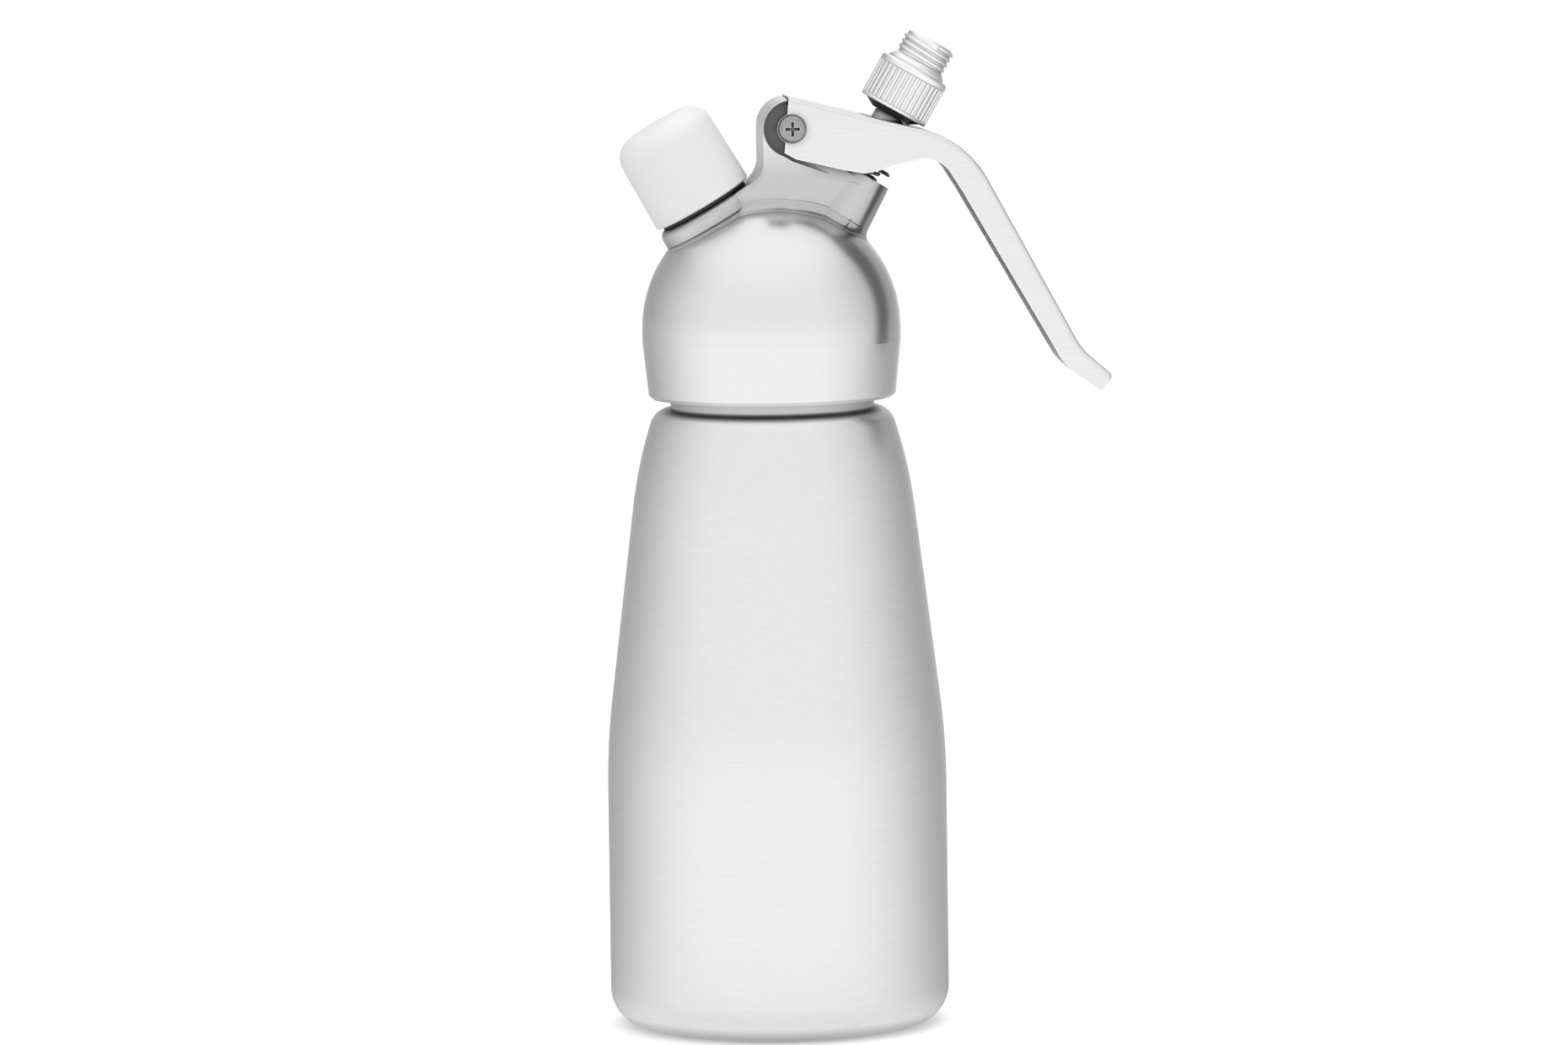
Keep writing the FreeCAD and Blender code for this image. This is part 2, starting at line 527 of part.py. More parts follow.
# Nozzle adapter: fluted skirt, turned shoulder, male thread for the nozzle
adapterTurn = revolved("adapter_turn", [
    ("stemRadius + seatGap", "adapterBottom"), ("adapterRadius - 0.5", "adapterBottom"),
    ("adapterRadius", "adapterBottom + 0.5"), ("adapterRadius", "adapterBottom + adapterSkirt - 0.4"),
    ("adapterRadius - 0.4", "adapterBottom + adapterSkirt"),
    ("adapterShoulder", "adapterBottom + adapterSkirt"),
    ("nozzleThreadRadius", "adapterBottom + nozzleThreadStart"),
    ("nozzleThreadRadius", "adapterBottom + adapterHeight - 0.4"),
    ("nozzleThreadRadius - 0.4", "adapterBottom + adapterHeight"),
    ("adapterBore", "adapterBottom + adapterHeight"),
    ("adapterBore", "stemTip + seatGap"), ("stemRadius + seatGap", "stemTip + seatGap"),
])
flute = cylinder("flute", "fluteRadius", "adapterSkirt - fluteStop", "adapterBottom - 0.1")
flute.setExpression("Placement.Base.x", cell("adapterRadius + fluteRadius * 0.35"))
fluteRing = doc.addObject("Part::Feature", "flutes")
doc.recompute()
fluteRing.Shape = Part.makeCompound([
    flute.Shape.copy().rotated(FreeCAD.Vector(0, 0, 0), FreeCAD.Vector(0, 0, 1),
                               360.0 * turn / int(value("fluteCount")))
    for turn in range(int(value("fluteCount")))])
keep(on_axis(boolean("cut", "nozzle_adapter", adapterTurn, fluteRing), "valve"), "nozzle_adapter")
keep(on_axis(revolved("adapter_gasket", [
    ("stemRadius + seatGap", "adapterBottom - coneHeight + 2 * seatGap"),
    ("coneFoot", "adapterBottom - coneHeight + 2 * seatGap"), ("coneTop", "adapterBottom - seatGap"),
    ("stemRadius + seatGap", "adapterBottom - seatGap"),
]), "valve"), "adapter_gasket")

# Charger inlet: threaded spigot, seal, piercing pin, non-return plug, gasket
keep(on_axis(revolved("inlet_spigot", [
    ("gasBore", "spigotFoot"), ("spigotShank", "spigotFoot"), ("spigotShank", "inletBossTop"),
    ("spigotRadius", "inletBossTop"), ("spigotRadius", "spigotTop - 0.6"),
    ("spigotRadius - 0.6", "spigotTop"), ("socketRadius + 0.5", "spigotTop"),
    ("socketRadius", "spigotTop - 0.5"), ("socketRadius", "socketFloor + sealPocketHeight"),
    ("sealPocket", "socketFloor + sealPocketHeight"), ("sealPocket", "socketFloor"),
    ("pinFlange", "socketFloor"), ("pinFlange", "socketFloor - pinFlangeHeight"),
    ("gasBore", "socketFloor - pinFlangeHeight"),
]), "inlet"), "inlet_spigot")
keep(on_axis(revolved("piercing_pin", [
    ("pinBore", "socketFloor - pinFlangeHeight"), ("pinFlange", "socketFloor - pinFlangeHeight"),
    ("pinFlange", "socketFloor"),
    ("pinRadius", "socketFloor"), ("pinRadius", "socketFloor + pinHeight - pinPoint"),
    ("pinBore", "socketFloor + pinHeight"),
]), "inlet"), "piercing_pin")
keep(on_axis(revolved("inlet_seal", [
    ("inletSealBore", "socketFloor"), ("sealPocket", "socketFloor"),
    ("sealPocket", "socketFloor + inletSealHeight"),
    ("inletSealBore", "socketFloor + inletSealHeight"),
]), "inlet"), "inlet_seal")
keep(on_axis(revolved("check_valve", [
    ("0", "spigotFoot - valvePlugHeight"), ("valvePlugRadius", "spigotFoot - valvePlugHeight"),
    ("valvePlugRadius", "spigotFoot - 1.2"), ("valvePlugRadius - 1", "spigotFoot - 1.2"),
    ("valvePlugRadius - 1.4", "spigotFoot"), ("0", "spigotFoot"),
]), "inlet"), "check_valve")
keep(on_axis(revolved("inlet_gasket", [
    ("spigotRadius", "inletBossTop"), ("inletRingRadius", "inletBossTop"),
    ("inletRingRadius", "inletBossTop + inletRingThickness"),
    ("spigotRadius", "inletBossTop + inletRingThickness"),
]), "inlet"), "inlet_gasket")

# Protective cap: matt moulded cup over the inlet's thread
keep(on_axis(revolved("protective_cap", [
    ("capBore", "capBase"), ("capRadius - 0.3", "capBase"), ("capRadius", "capBase + 0.3"),
    ("capTopRadius", "capTop - capRound", "capRound", 1),
    ("capTopRadius - capRound", "capTop"), ("0", "capTop"),
    ("0", "capTop - capWall"), ("capBore - capChamfer", "capTop - capWall"),
    ("capBore", "capTop - capWall - capChamfer"),
]), "inlet"), "protective_cap")

# Lever: stamped channel with cheeks astride the lug, a bent handle and a flicked tip
def along(corner, slope, run, drop="0"):
    """A point run along a downhill slope from a corner of the lever, and drop under that line."""
    return (f"{corner}X + ({run}) * cos({slope}) - ({drop}) * sin({slope})",
            f"{corner}Z - ({run}) * sin({slope}) - ({drop}) * cos({slope})")


def under_pivot(name):
    return f"pivotAcross + {name}Across", f"pivotHeight - {name}Drop"


leverSteps = [
    ("webStartX", "webStartZ"),
    ("pivotAcross - heelAcross", "pivotHeight - heelDrop"),
    under_pivot("sole"),
    under_pivot("sill"),
    under_pivot("cheek") + ("cheekRound", 1),
    under_pivot("arch"),
    under_pivot("crest") + ("crestRound", -1),
    under_pivot("throat"),
    along("bend", "gripSlope", "gripStart", "gripDepth"),
    along("flick", "gripSlope", "-0.4", "gripEndDepth") + ("gripEndRound", 1),
    along("flick", "flickSlope", "flickStart", "flickDepth"),
    along("flick", "flickSlope", "flickLength + tipRound * 0.6", "tipDepth") + ("tipRound", 1),
    along("flick", "flickSlope", "flickLength + tipRound * 1.2", "tipDepth - tipRound"),
    along("flick", "flickSlope", "flickLength + tipRound * 0.9", "tipRound * 0.6") + ("tipRound", 1),
    along("flick", "flickSlope", "flickLength"),
    along("flick", "flickSlope", "flickRun") + ("flickRound", -1),
    along("flick", "gripSlope", "-flickRun"),
    along("bend", "gripSlope", "webRun") + ("webRound", 1),
    along("bend", "webSlope", "-webRun"),
]
hollowSteps = [
    along("webStart", "webSlope", "-hollowReach", "sheet"),
    ("pivotAcross - hollowReach", "pivotHeight - hollowDrop"),
    ("pivotAcross", "pivotHeight - hollowDrop"),
    along("flick", "gripSlope", "0", "hollowReach"),
    along("flick", "flickSlope", "hollowReach", "hollowReach"),
    along("flick", "flickSlope", "hollowReach", "sheet"),
    along("flick", "flickSlope", "flickRun", "sheet") + ("flickRound + sheet", -1),
    along("flick", "gripSlope", "-flickRun", "sheet"),
    along("bend", "gripSlope", "webRun", "sheet") + ("webRound - sheet", 1),
    along("bend", "webSlope", "-webRun", "sheet"),
]


def height_over(corner, slope, across, up):
    """How far a point stands above a downhill line through a corner, and how far along it."""
    tilt = math.radians(value(slope))
    side, rise = across - value(corner + "X"), up - value(corner + "Z")
    return (side * math.sin(tilt) + rise * math.cos(tilt),
            side * math.cos(tilt) - rise * math.sin(tilt))


def is_web(across, up):
    """Whether a point of the lever's outline lies on the outer, web side."""
    near = -value("gripDepth") / 2
    over, run = height_over("bend", "gripSlope", across, up)
    if run < value("gripLength") - value("flickStart"):
        return max(over, height_over("bend", "webSlope", across, up)[0]) > near
    over, run = height_over("flick", "flickSlope", across, up)
    return over > near / 2 and run < value("flickLength")


lever = padded("lever_blank", leverSteps, "2 * leverHalfWidth")
doc.recompute()
rounded(lever, "lever_bend", "sheetBend",
        lambda edge: abs(abs(edge.CenterOfMass.y) - value("leverHalfWidth")) < 0.01
        and is_web(edge.CenterOfMass.x, edge.CenterOfMass.z))
cut_through(lever, "lever_hollow", hollowSteps, "2 * (leverHalfWidth - sheet)")
lobes = at_pivot(cylinder("lobe", "lobeRadius", "2 * leverHalfWidth"))
lobes.setExpression("Placement.Base.y", cell("leverHalfWidth"))
lobeCore = doc.addObject("Part::Box", "lobe_core")
bind(lobeCore, Length="4 * lobeRadius", Width="2 * (leverHalfWidth - sheet)", Height="4 * lobeRadius")
lobeCore.setExpression("Placement.Base.x", cell("pivotAcross - 2 * lobeRadius"))
lobeCore.setExpression("Placement.Base.y", cell("-(leverHalfWidth - sheet)"))
lobeCore.setExpression("Placement.Base.z", cell("pivotHeight - 2 * lobeRadius"))
lobePair = boolean("cut", "lobe_pair", lobes, lobeCore)
stemSlot = doc.addObject("Part::Box", "stem_slot")
bind(stemSlot, Length="slotBack + slotFront", Width="2 * slotHalfWidth", Height="slotDepth")
on_axis(stemSlot, "valve")
stemSlot.setExpression("Placement.Base.x", cell("slotPlace * sin(valveAngle) - slotBack * cos(valveAngle)"))
stemSlot.setExpression("Placement.Base.y", cell("-slotHalfWidth"))
stemSlot.setExpression("Placement.Base.z",
                       cell("domeCentre + slotPlace * cos(valveAngle) + slotBack * sin(valveAngle)"))
screwHoles = at_pivot(cylinder("screw_holes", "screwRadius + runningGap", "4 * leverHalfWidth"))
screwHoles.setExpression("Placement.Base.y", cell("2 * leverHalfWidth"))
leverWhole = boolean("fuse", "lever_whole", lever, lobePair)
leverCut = boolean("cut", "lever", leverWhole, stemSlot, screwHoles)
keep(leverCut, "lever")

# Pivot: bush in the lug, cross-head screw, washers and nut
bushBlank = cylinder("bush_blank", "bushRadius", "2 * lugHalfWidth", "-lugHalfWidth")
bushHole = cylinder("bush_hole", "screwRadius", "4 * lugHalfWidth", "-2 * lugHalfWidth")
keep(at_pivot(boolean("cut", "pivot_bush", bushBlank, bushHole)), "pivot_bush")
screwTurn = revolved("screw_turn", [
    ("0", "-headSeat - nutThickness - screwEnd"),
    ("screwRadius - screwEnd / 2", "-headSeat - nutThickness - screwEnd"),
    ("screwRadius", "-headSeat - nutThickness - screwEnd / 2"), ("screwRadius", "headSeat"),
    ("screwHead", "headSeat"), ("screwHead", "headSeat + screwHeadHeight - screwRound / 2", "screwRound", 1),
    ("screwHead - screwRound + 0.1", "headSeat + screwHeadHeight"), ("0", "headSeat + screwHeadHeight"),
])
crossBars = []
for number in range(2):
    bar = doc.addObject("Part::Box", f"cross_{number}")
    bind(bar, Length="screwHead * 1.1" if number else "screwCross",
         Width="screwCross" if number else "screwHead * 1.1", Height="screwCrossDepth + 1")
    bar.setExpression("Placement.Base.x", cell("-screwHead * 0.55" if number else "-screwCross / 2"))
    bar.setExpression("Placement.Base.y", cell("-screwCross / 2" if number else "-screwHead * 0.55"))
    bar.setExpression("Placement.Base.z", cell("headSeat + screwHeadHeight - screwCrossDepth"))
    crossBars.append(bar)
keep(at_pivot(boolean("cut", "pivot_screw", screwTurn, *crossBars)), "pivot_screw")


def washer(name, start):
    disc = cylinder(name + "_disc", "washerRadius", "washerThickness - 2 * seatGap", start)
    hole = cylinder(name + "_hole", "screwRadius", "washerThickness + 2", f"{start} - 1")
    return boolean("cut", name, disc, hole)


keep(at_pivot(washer("front_washer", "leverHalfWidth + seatGap")), "front_washer")
keep(at_pivot(washer("rear_washer", "-leverHalfWidth - washerThickness + seatGap")), "rear_washer")
keep(at_pivot(hex_nut("pivot_nut", "nutFlats", "nutThickness", "screwRadius",
                      "-headSeat - nutThickness")), "pivot_nut")

doc.recompute()
faults = [item.Name for item in doc.Objects if "Invalid" in item.State or "Error" in item.State]
if faults:
    raise RuntimeError("failed objects: " + ", ".join(faults))
for name, item in pieces:
    shape = item.Shape
    if shape.isNull() or not shape.isValid() or not shape.Solids:
        raise RuntimeError("bad shape: " + name)
for name, item in pieces:
    item.Shape.exportStep(f"parts/{name}.step")
    print(name, len(item.Shape.Solids), round(item.Shape.Volume, 1))
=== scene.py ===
import json
from math import cos, pi, radians, sin, sqrt

import bmesh
import bpy
from mathutils import Matrix, Vector


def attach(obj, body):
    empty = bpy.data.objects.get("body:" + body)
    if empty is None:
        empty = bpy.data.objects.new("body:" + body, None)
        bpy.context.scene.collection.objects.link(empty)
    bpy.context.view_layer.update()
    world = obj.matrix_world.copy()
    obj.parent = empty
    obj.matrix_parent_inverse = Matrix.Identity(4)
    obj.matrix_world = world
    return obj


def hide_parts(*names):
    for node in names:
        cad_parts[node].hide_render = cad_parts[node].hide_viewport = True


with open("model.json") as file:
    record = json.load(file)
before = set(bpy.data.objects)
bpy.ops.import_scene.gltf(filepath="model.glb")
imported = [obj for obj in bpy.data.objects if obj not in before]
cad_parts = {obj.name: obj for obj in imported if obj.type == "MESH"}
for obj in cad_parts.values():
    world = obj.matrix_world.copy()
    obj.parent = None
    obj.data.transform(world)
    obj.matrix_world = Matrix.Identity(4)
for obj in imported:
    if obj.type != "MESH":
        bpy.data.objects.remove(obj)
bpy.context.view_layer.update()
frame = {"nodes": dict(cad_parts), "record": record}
scene = bpy.context.scene
mm = 0.001


# The camera, fitted to the photograph
cameraView = {
    "distance": 2.0,
    "height": 0.311,
    "turn": 4.2,            # degrees towards the capped side
    "aimHeight": 0.1188,
    "aimAcross": 0.00236,
    "focalPixels": 10117.6,
    "frameWidth": 1860,
    "roll": 0.745,
}


def makeCamera(view):
    turn = radians(view["turn"])
    place = Vector((-view["distance"] * sin(turn), -view["distance"] * cos(turn), view["height"]))
    aim = Vector((view["aimAcross"] * cos(turn), -view["aimAcross"] * sin(turn), view["aimHeight"]))
    forward = (aim - place).normalized()
    right = forward.cross(Vector((0, 0, 1))).normalized()
    up = right.cross(forward)
    roll = radians(view["roll"])
    rolledRight = cos(roll) * right - sin(roll) * up
    rolledUp = cos(roll) * up + sin(roll) * right
    data = bpy.data.cameras.new("photoCamera")
    data.sensor_width = 36
    data.lens = view["focalPixels"] * 36 / view["frameWidth"]
    data.clip_end = 20
    camera = bpy.data.objects.new("photoCamera", data)
    scene.collection.objects.link(camera)
    axes = Matrix((rolledRight, rolledUp, -forward)).transposed().to_4x4()
    camera.matrix_world = Matrix.Translation(place) @ axes
    scene.camera = camera


makeCamera(cameraView)
print("camera set")


# Shader node groups that several finishes share
def newGroup(name, inputs, outputs):
    group = bpy.data.node_groups.new(name, "ShaderNodeTree")
    for label, kind, value in inputs:
        socket = group.interface.new_socket(name=label, in_out="INPUT", socket_type=kind)
        socket.default_value = value
    for label, kind in outputs:
        group.interface.new_socket(name=label, in_out="OUTPUT", socket_type=kind)
    return group, group.nodes.new("NodeGroupInput"), group.nodes.new("NodeGroupOutput")


def addNode(tree, kind, **settings):
    node = tree.nodes.new(kind)
    for key, value in settings.items():
        if key in node.inputs:
            node.inputs[key].default_value = value
        else:
            setattr(node, key, value)
    return node


def mathNode(tree, operation, first, second=None):
    node = tree.nodes.new("ShaderNodeMath")
    node.operation = operation
    for index, source in enumerate((first, second)):
        if source is None:
            continue
        if isinstance(source, (int, float)):
            node.inputs[index].default_value = source
        else:
            tree.links.new(source, node.inputs[index])
    return node.outputs[0]


ringLean = 0.35             # keeps the rings apart on a flat face, where the height doesn't change


def makeTurnedBrushing():
    # fine rings round the local Z axis, a little broken up along their length
    group, given, result = newGroup("turnedBrushing", [
        ("Coordinates", "NodeSocketVector", (0, 0, 0)), ("Lines per metre", "NodeSocketFloat", 2500),
        ("Length", "NodeSocketFloat", 14), ("Blotch", "NodeSocketFloat", 30)],
        [("Lines", "NodeSocketFloat"), ("Clouds", "NodeSocketFloat")])
    link = group.links.new
    split = addNode(group, "ShaderNodeSeparateXYZ")
    link(given.outputs["Coordinates"], split.inputs[0])
    angle = mathNode(group, "ARCTAN2", split.outputs["Y"], split.outputs["X"])
    squares = [mathNode(group, "MULTIPLY", split.outputs[axis], split.outputs[axis]) for axis in "XY"]
    radial = mathNode(group, "SQRT", mathNode(group, "ADD", *squares))
    rise = mathNode(group, "ADD", split.outputs["Z"], mathNode(group, "MULTIPLY", radial, ringLean))
    around = addNode(group, "ShaderNodeCombineXYZ")
    for index, kind in enumerate(("COSINE", "SINE")):
        turn = mathNode(group, kind, angle)
        link(mathNode(group, "MULTIPLY", turn, given.outputs["Length"]), around.inputs[index])
    link(mathNode(group, "MULTIPLY", rise, given.outputs["Lines per metre"]), around.inputs[2])
    lines = addNode(group, "ShaderNodeTexNoise", Scale=1.0, Detail=3.0, Roughness=0.7)
    link(around.outputs[0], lines.inputs["Vector"])
    clouds = addNode(group, "ShaderNodeTexNoise", Detail=2.0, Roughness=0.5)
    link(given.outputs["Coordinates"], clouds.inputs["Vector"])
    link(given.outputs["Blotch"], clouds.inputs["Scale"])
    link(lines.outputs["Fac"], result.inputs["Lines"])
    link(clouds.outputs["Fac"], result.inputs["Clouds"])
    return group


def makePaintedEdgeHighlight():
    # painted highlight: a thin bright line on convex edges, from how far the bevelled normal turns from the
    # true one
    group, given, result = newGroup("paintedEdgeHighlight", [
        ("Radius", "NodeSocketFloat", 0.0006), ("Strength", "NodeSocketFloat", 6.0),
        ("Coordinates", "NodeSocketVector", (0, 0, 0))], [("Highlight", "NodeSocketFloat")])
    link = group.links.new
    shape = addNode(group, "ShaderNodeNewGeometry")
    bevel = addNode(group, "ShaderNodeBevel", samples=4)
    link(given.outputs["Radius"], bevel.inputs["Radius"])
    turnOff = addNode(group, "ShaderNodeVectorMath", operation="DOT_PRODUCT")
    link(shape.outputs["True Normal"], turnOff.inputs[0])
    link(bevel.outputs["Normal"], turnOff.inputs[1])
    bend = mathNode(group, "SUBTRACT", 1.0, turnOff.outputs["Value"])
    breakUp = addNode(group, "ShaderNodeTexNoise", Scale=900.0, Detail=2.0)
    link(given.outputs["Coordinates"], breakUp.inputs["Vector"])
    scaled = mathNode(group, "MULTIPLY", bend, given.outputs["Strength"])
    masked = addNode(group, "ShaderNodeMath", operation="MULTIPLY", use_clamp=True)
    link(scaled, masked.inputs[0])
    link(mathNode(group, "ADD", breakUp.outputs["Fac"], 0.4), masked.inputs[1])
    link(masked.outputs[0], result.inputs["Highlight"])
    return group


def makePaintedCreviceShade():
    # painted shade: how far a spot is shut in by what stands within reach of it, 0 in the open, 1 deep
    # inside; it darkens the colour in corners, creases and recesses
    group, given, result = newGroup("paintedCreviceShade", [
        ("Reach", "NodeSocketFloat", 0.003), ("Strength", "NodeSocketFloat", 1.0)],
        [("Shade", "NodeSocketFloat")])
    hollow = addNode(group, "ShaderNodeAmbientOcclusion", samples=6)
    group.links.new(given.outputs["Reach"], hollow.inputs["Distance"])
    shut = mathNode(group, "SUBTRACT", 1.0, hollow.outputs["AO"])
    scaled = addNode(group, "ShaderNodeMath", operation="MULTIPLY", use_clamp=True)
    group.links.new(shut, scaled.inputs[0])
    group.links.new(given.outputs["Strength"], scaled.inputs[1])
    group.links.new(scaled.outputs[0], result.inputs["Shade"])
    return group


turnedBrushing = makeTurnedBrushing()
paintedEdgeHighlight = makePaintedEdgeHighlight()
paintedCreviceShade = makePaintedCreviceShade()


def newMaterial(name):
    material = bpy.data.materials.new(name)
    material.use_nodes = True
    tree = material.node_tree
    tree.nodes.clear()
    shader = tree.nodes.new("ShaderNodeBsdfPrincipled")
    output = tree.nodes.new("ShaderNodeOutputMaterial")
    tree.links.new(shader.outputs[0], output.inputs[0])
    place = tree.nodes.new("ShaderNodeTexCoord")
    return material, tree, shader, place.outputs["Object"]


def useGroup(tree, group, **values):
    node = tree.nodes.new("ShaderNodeGroup")
    node.node_tree = group
    for key, value in values.items():
        label = {"linesPerMetre": "Lines per metre"}.get(key, key[0].upper() + key[1:])
        if hasattr(value, "is_linked"):
            tree.links.new(value, node.inputs[label])
        else:
            node.inputs[label].default_value = value
    return node


def rangeNode(tree, source, span, ends, kind="LINEAR"):
    node = tree.nodes.new("ShaderNodeMapRange")
    node.interpolation_type = kind
    node.inputs["From Min"].default_value, node.inputs["From Max"].default_value = span
    node.inputs["To Min"].default_value, node.inputs["To Max"].default_value = ends
    tree.links.new(source, node.inputs["Value"])
    return node.outputs[0]


def spread(tree, source, low, high):
    return rangeNode(tree, source, (0, 1), (low, high))


def mixColour(tree, factor, first, second):
    node = tree.nodes.new("ShaderNodeMix")
    node.data_type = "RGBA"
    tree.links.new(factor, node.inputs["Factor"])
    for socket, colour in ((node.inputs[6], first), (node.inputs[7], second)):
        if isinstance(colour, tuple):
            socket.default_value = (*colour, 1)
        else:
            tree.links.new(colour, socket)
    return node.outputs[2]


def bumped(tree, shader, height, strength, distance):
    bump = tree.nodes.new("ShaderNodeBump")
    bump.inputs["Strength"].default_value = strength
    bump.inputs["Distance"].default_value = distance
    tree.links.new(height, bump.inputs["Height"])
    tree.links.new(bump.outputs[0], shader.inputs["Normal"])


# painted shade: the colour darkens towards a deep tone where ambient occlusion finds corners and recesses
def paintCreviceShade(tree, colour, look):
    shade = useGroup(tree, paintedCreviceShade, reach=look["reach"], strength=look["creviceShadeStrength"])
    return mixColour(tree, shade.outputs["Shade"], colour, look["creviceShadeTone"])


def paintWellShade(tree, spot, colour, paintedWell):
    # painted shade and dark reflection in a round recess about an axis along Y
    away = addNode(tree, "ShaderNodeVectorMath", operation="SUBTRACT")
    tree.links.new(spot, away.inputs[0])
    away.inputs[1].default_value = paintedWell["centre"]
    flat = addNode(tree, "ShaderNodeVectorMath", operation="MULTIPLY")
    tree.links.new(away.outputs[0], flat.inputs[0])
    flat.inputs[1].default_value = (1, 0, 1)
    reach = addNode(tree, "ShaderNodeVectorMath", operation="LENGTH")
    tree.links.new(flat.outputs[0], reach.inputs[0])
    fade = (paintedWell["radius"], paintedWell["radius"] + paintedWell["fade"])
    inside = rangeNode(tree, reach.outputs["Value"], fade, (paintedWell["strength"], 0))
    return mixColour(tree, inside, colour, paintedWell["tone"])


def paintBridgeShade(tree, spot, colour, paintedBridgeShade):
    # painted shade: the narrow casting between the dome and the pivot is painted a duller grey than the
    # turned dome, for its dimmer reflection, less so towards the top
    split = addNode(tree, "ShaderNodeSeparateXYZ")
    tree.links.new(spot, split.inputs[0])
    across = mathNode(tree, "ABSOLUTE", split.outputs["Y"])
    side = rangeNode(tree, across, paintedBridgeShade["halfWidth"], (1, 0), "SMOOTHSTEP")
    foot = rangeNode(tree, split.outputs["Z"], paintedBridgeShade["foot"], (0, 1), "SMOOTHSTEP")
    top = rangeNode(tree, split.outputs["Z"], paintedBridgeShade["top"], (1, paintedBridgeShade["topShare"]), "SMOOTHSTEP")
    share = mathNode(tree, "MULTIPLY", mathNode(tree, "MULTIPLY", side, foot), top)
    return mixColour(tree, share, colour, paintedBridgeShade["tone"])


def turnedMetal(name, look, tilt=0, rise=0):
    # metal with turned lines round an axis that may lean by tilt degrees about Y
    material, tree, shader, spot = newMaterial(name)
    mapping = tree.nodes.new("ShaderNodeMapping")
    mapping.vector_type = "TEXTURE"
    mapping.inputs["Location"].default_value = (0, 0, rise)
    mapping.inputs["Rotation"].default_value = (0, radians(tilt), 0)
    tree.links.new(spot, mapping.inputs["Vector"])
    brush = useGroup(tree, turnedBrushing, coordinates=mapping.outputs[0],
                     linesPerMetre=look["lines"], length=look["lineLength"], blotch=look["blotch"])
    edgeHighlight = useGroup(tree, paintedEdgeHighlight, coordinates=spot, radius=look["edge"], strength=look["edgeHighlight"])
    tone = mixColour(tree, brush.outputs["Lines"], look["dark"], look["light"])
    # painted highlight: convex edges are lifted towards the bright edge tone
    colour = mixColour(tree, edgeHighlight.outputs["Highlight"], tone, look["highlightTone"])
    if "paintedBridgeShade" in look:
        colour = paintBridgeShade(tree, spot, colour, look["paintedBridgeShade"])
    colour = paintCreviceShade(tree, colour, look)
    if "paintedWell" in look:
        colour = paintWellShade(tree, spot, colour, look["paintedWell"])
    tree.links.new(colour, shader.inputs["Base Color"])
    shader.inputs["Metallic"].default_value = 1.0
    rough = spread(tree, brush.outputs["Clouds"], look["roughLow"], look["roughHigh"])
    rough = mathNode(tree, "ADD", rough, spread(tree, brush.outputs["Lines"], -look["roughLines"],
                                                look["roughLines"]))
    tree.links.new(rough, shader.inputs["Roughness"])
    bumped(tree, shader, brush.outputs["Lines"], look["bump"], look["depth"])
    return material


# in each look, reach and the strength and tone beside it set the painted shade in corners and recesses
bottleLook = {"lines": 2600, "lineLength": 9, "blotch": 24, "edge": 0.0008, "edgeHighlight": 2.0,
              "dark": (0.76, 0.76, 0.765), "light": (0.87, 0.87, 0.87), "highlightTone": (0.93, 0.93, 0.93),
              "roughLow": 0.30, "roughHigh": 0.38, "roughLines": 0.04, "bump": 0.25, "depth": 0.00005,
              "reach": 0.004, "creviceShadeStrength": 0.8, "creviceShadeTone": (0.2, 0.2, 0.2)}
castLook = {"lines": 2200, "lineLength": 16, "blotch": 40, "edge": 0.0006, "edgeHighlight": 3.0,
            "dark": (0.77, 0.77, 0.775), "light": (0.83, 0.83, 0.835), "highlightTone": (0.93, 0.93, 0.93),
            "roughLow": 0.23, "roughHigh": 0.29, "roughLines": 0.015, "bump": 0.1, "depth": 0.00004,
            "reach": 0.0034, "creviceShadeStrength": 1.5, "creviceShadeTone": (0.07, 0.07, 0.07),
            # painted shade and dark reflection in the round recess round the pivot
            "paintedWell": {"centre": (0.0047, 0, 0.212), "radius": 0.0066, "fade": 0.0002, "strength": 0.86,
                     "tone": (0.07, 0.07, 0.07)},
            # painted shade on the bridge between the dome and the pivot
            "paintedBridgeShade": {"halfWidth": (0.012, 0.0155), "foot": (0.184, 0.19), "top": (0.2, 0.209),
                     "topShare": 0.3, "tone": (0.56, 0.56, 0.565)}}
turnedLook = {"lines": 5000, "lineLength": 8, "blotch": 200, "edge": 0.0003, "edgeHighlight": 3.0,
              "dark": (0.87, 0.87, 0.87), "light": (0.97, 0.97, 0.97), "highlightTone": (0.99, 0.99, 0.99),
              "roughLow": 0.22, "roughHigh": 0.34, "roughLines": 0.03, "bump": 0.2, "depth": 0.00003,
              "reach": 0.0012, "creviceShadeStrength": 0.9, "creviceShadeTone": (0.24, 0.24, 0.24)}
steelLook = dict(turnedLook, dark=(0.29, 0.29, 0.3), light=(0.43, 0.43, 0.44), roughLow=0.18, roughHigh=0.3,
                 creviceShadeStrength=2.4, creviceShadeTone=(0.03, 0.03, 0.03))
brassLook = dict(turnedLook, dark=(0.62, 0.46, 0.20), light=(0.82, 0.66, 0.36), highlightTone=(0.9, 0.76, 0.46))
wireLook = dict(steelLook, dark=(0.42, 0.42, 0.44), light=(0.58, 0.58, 0.60))


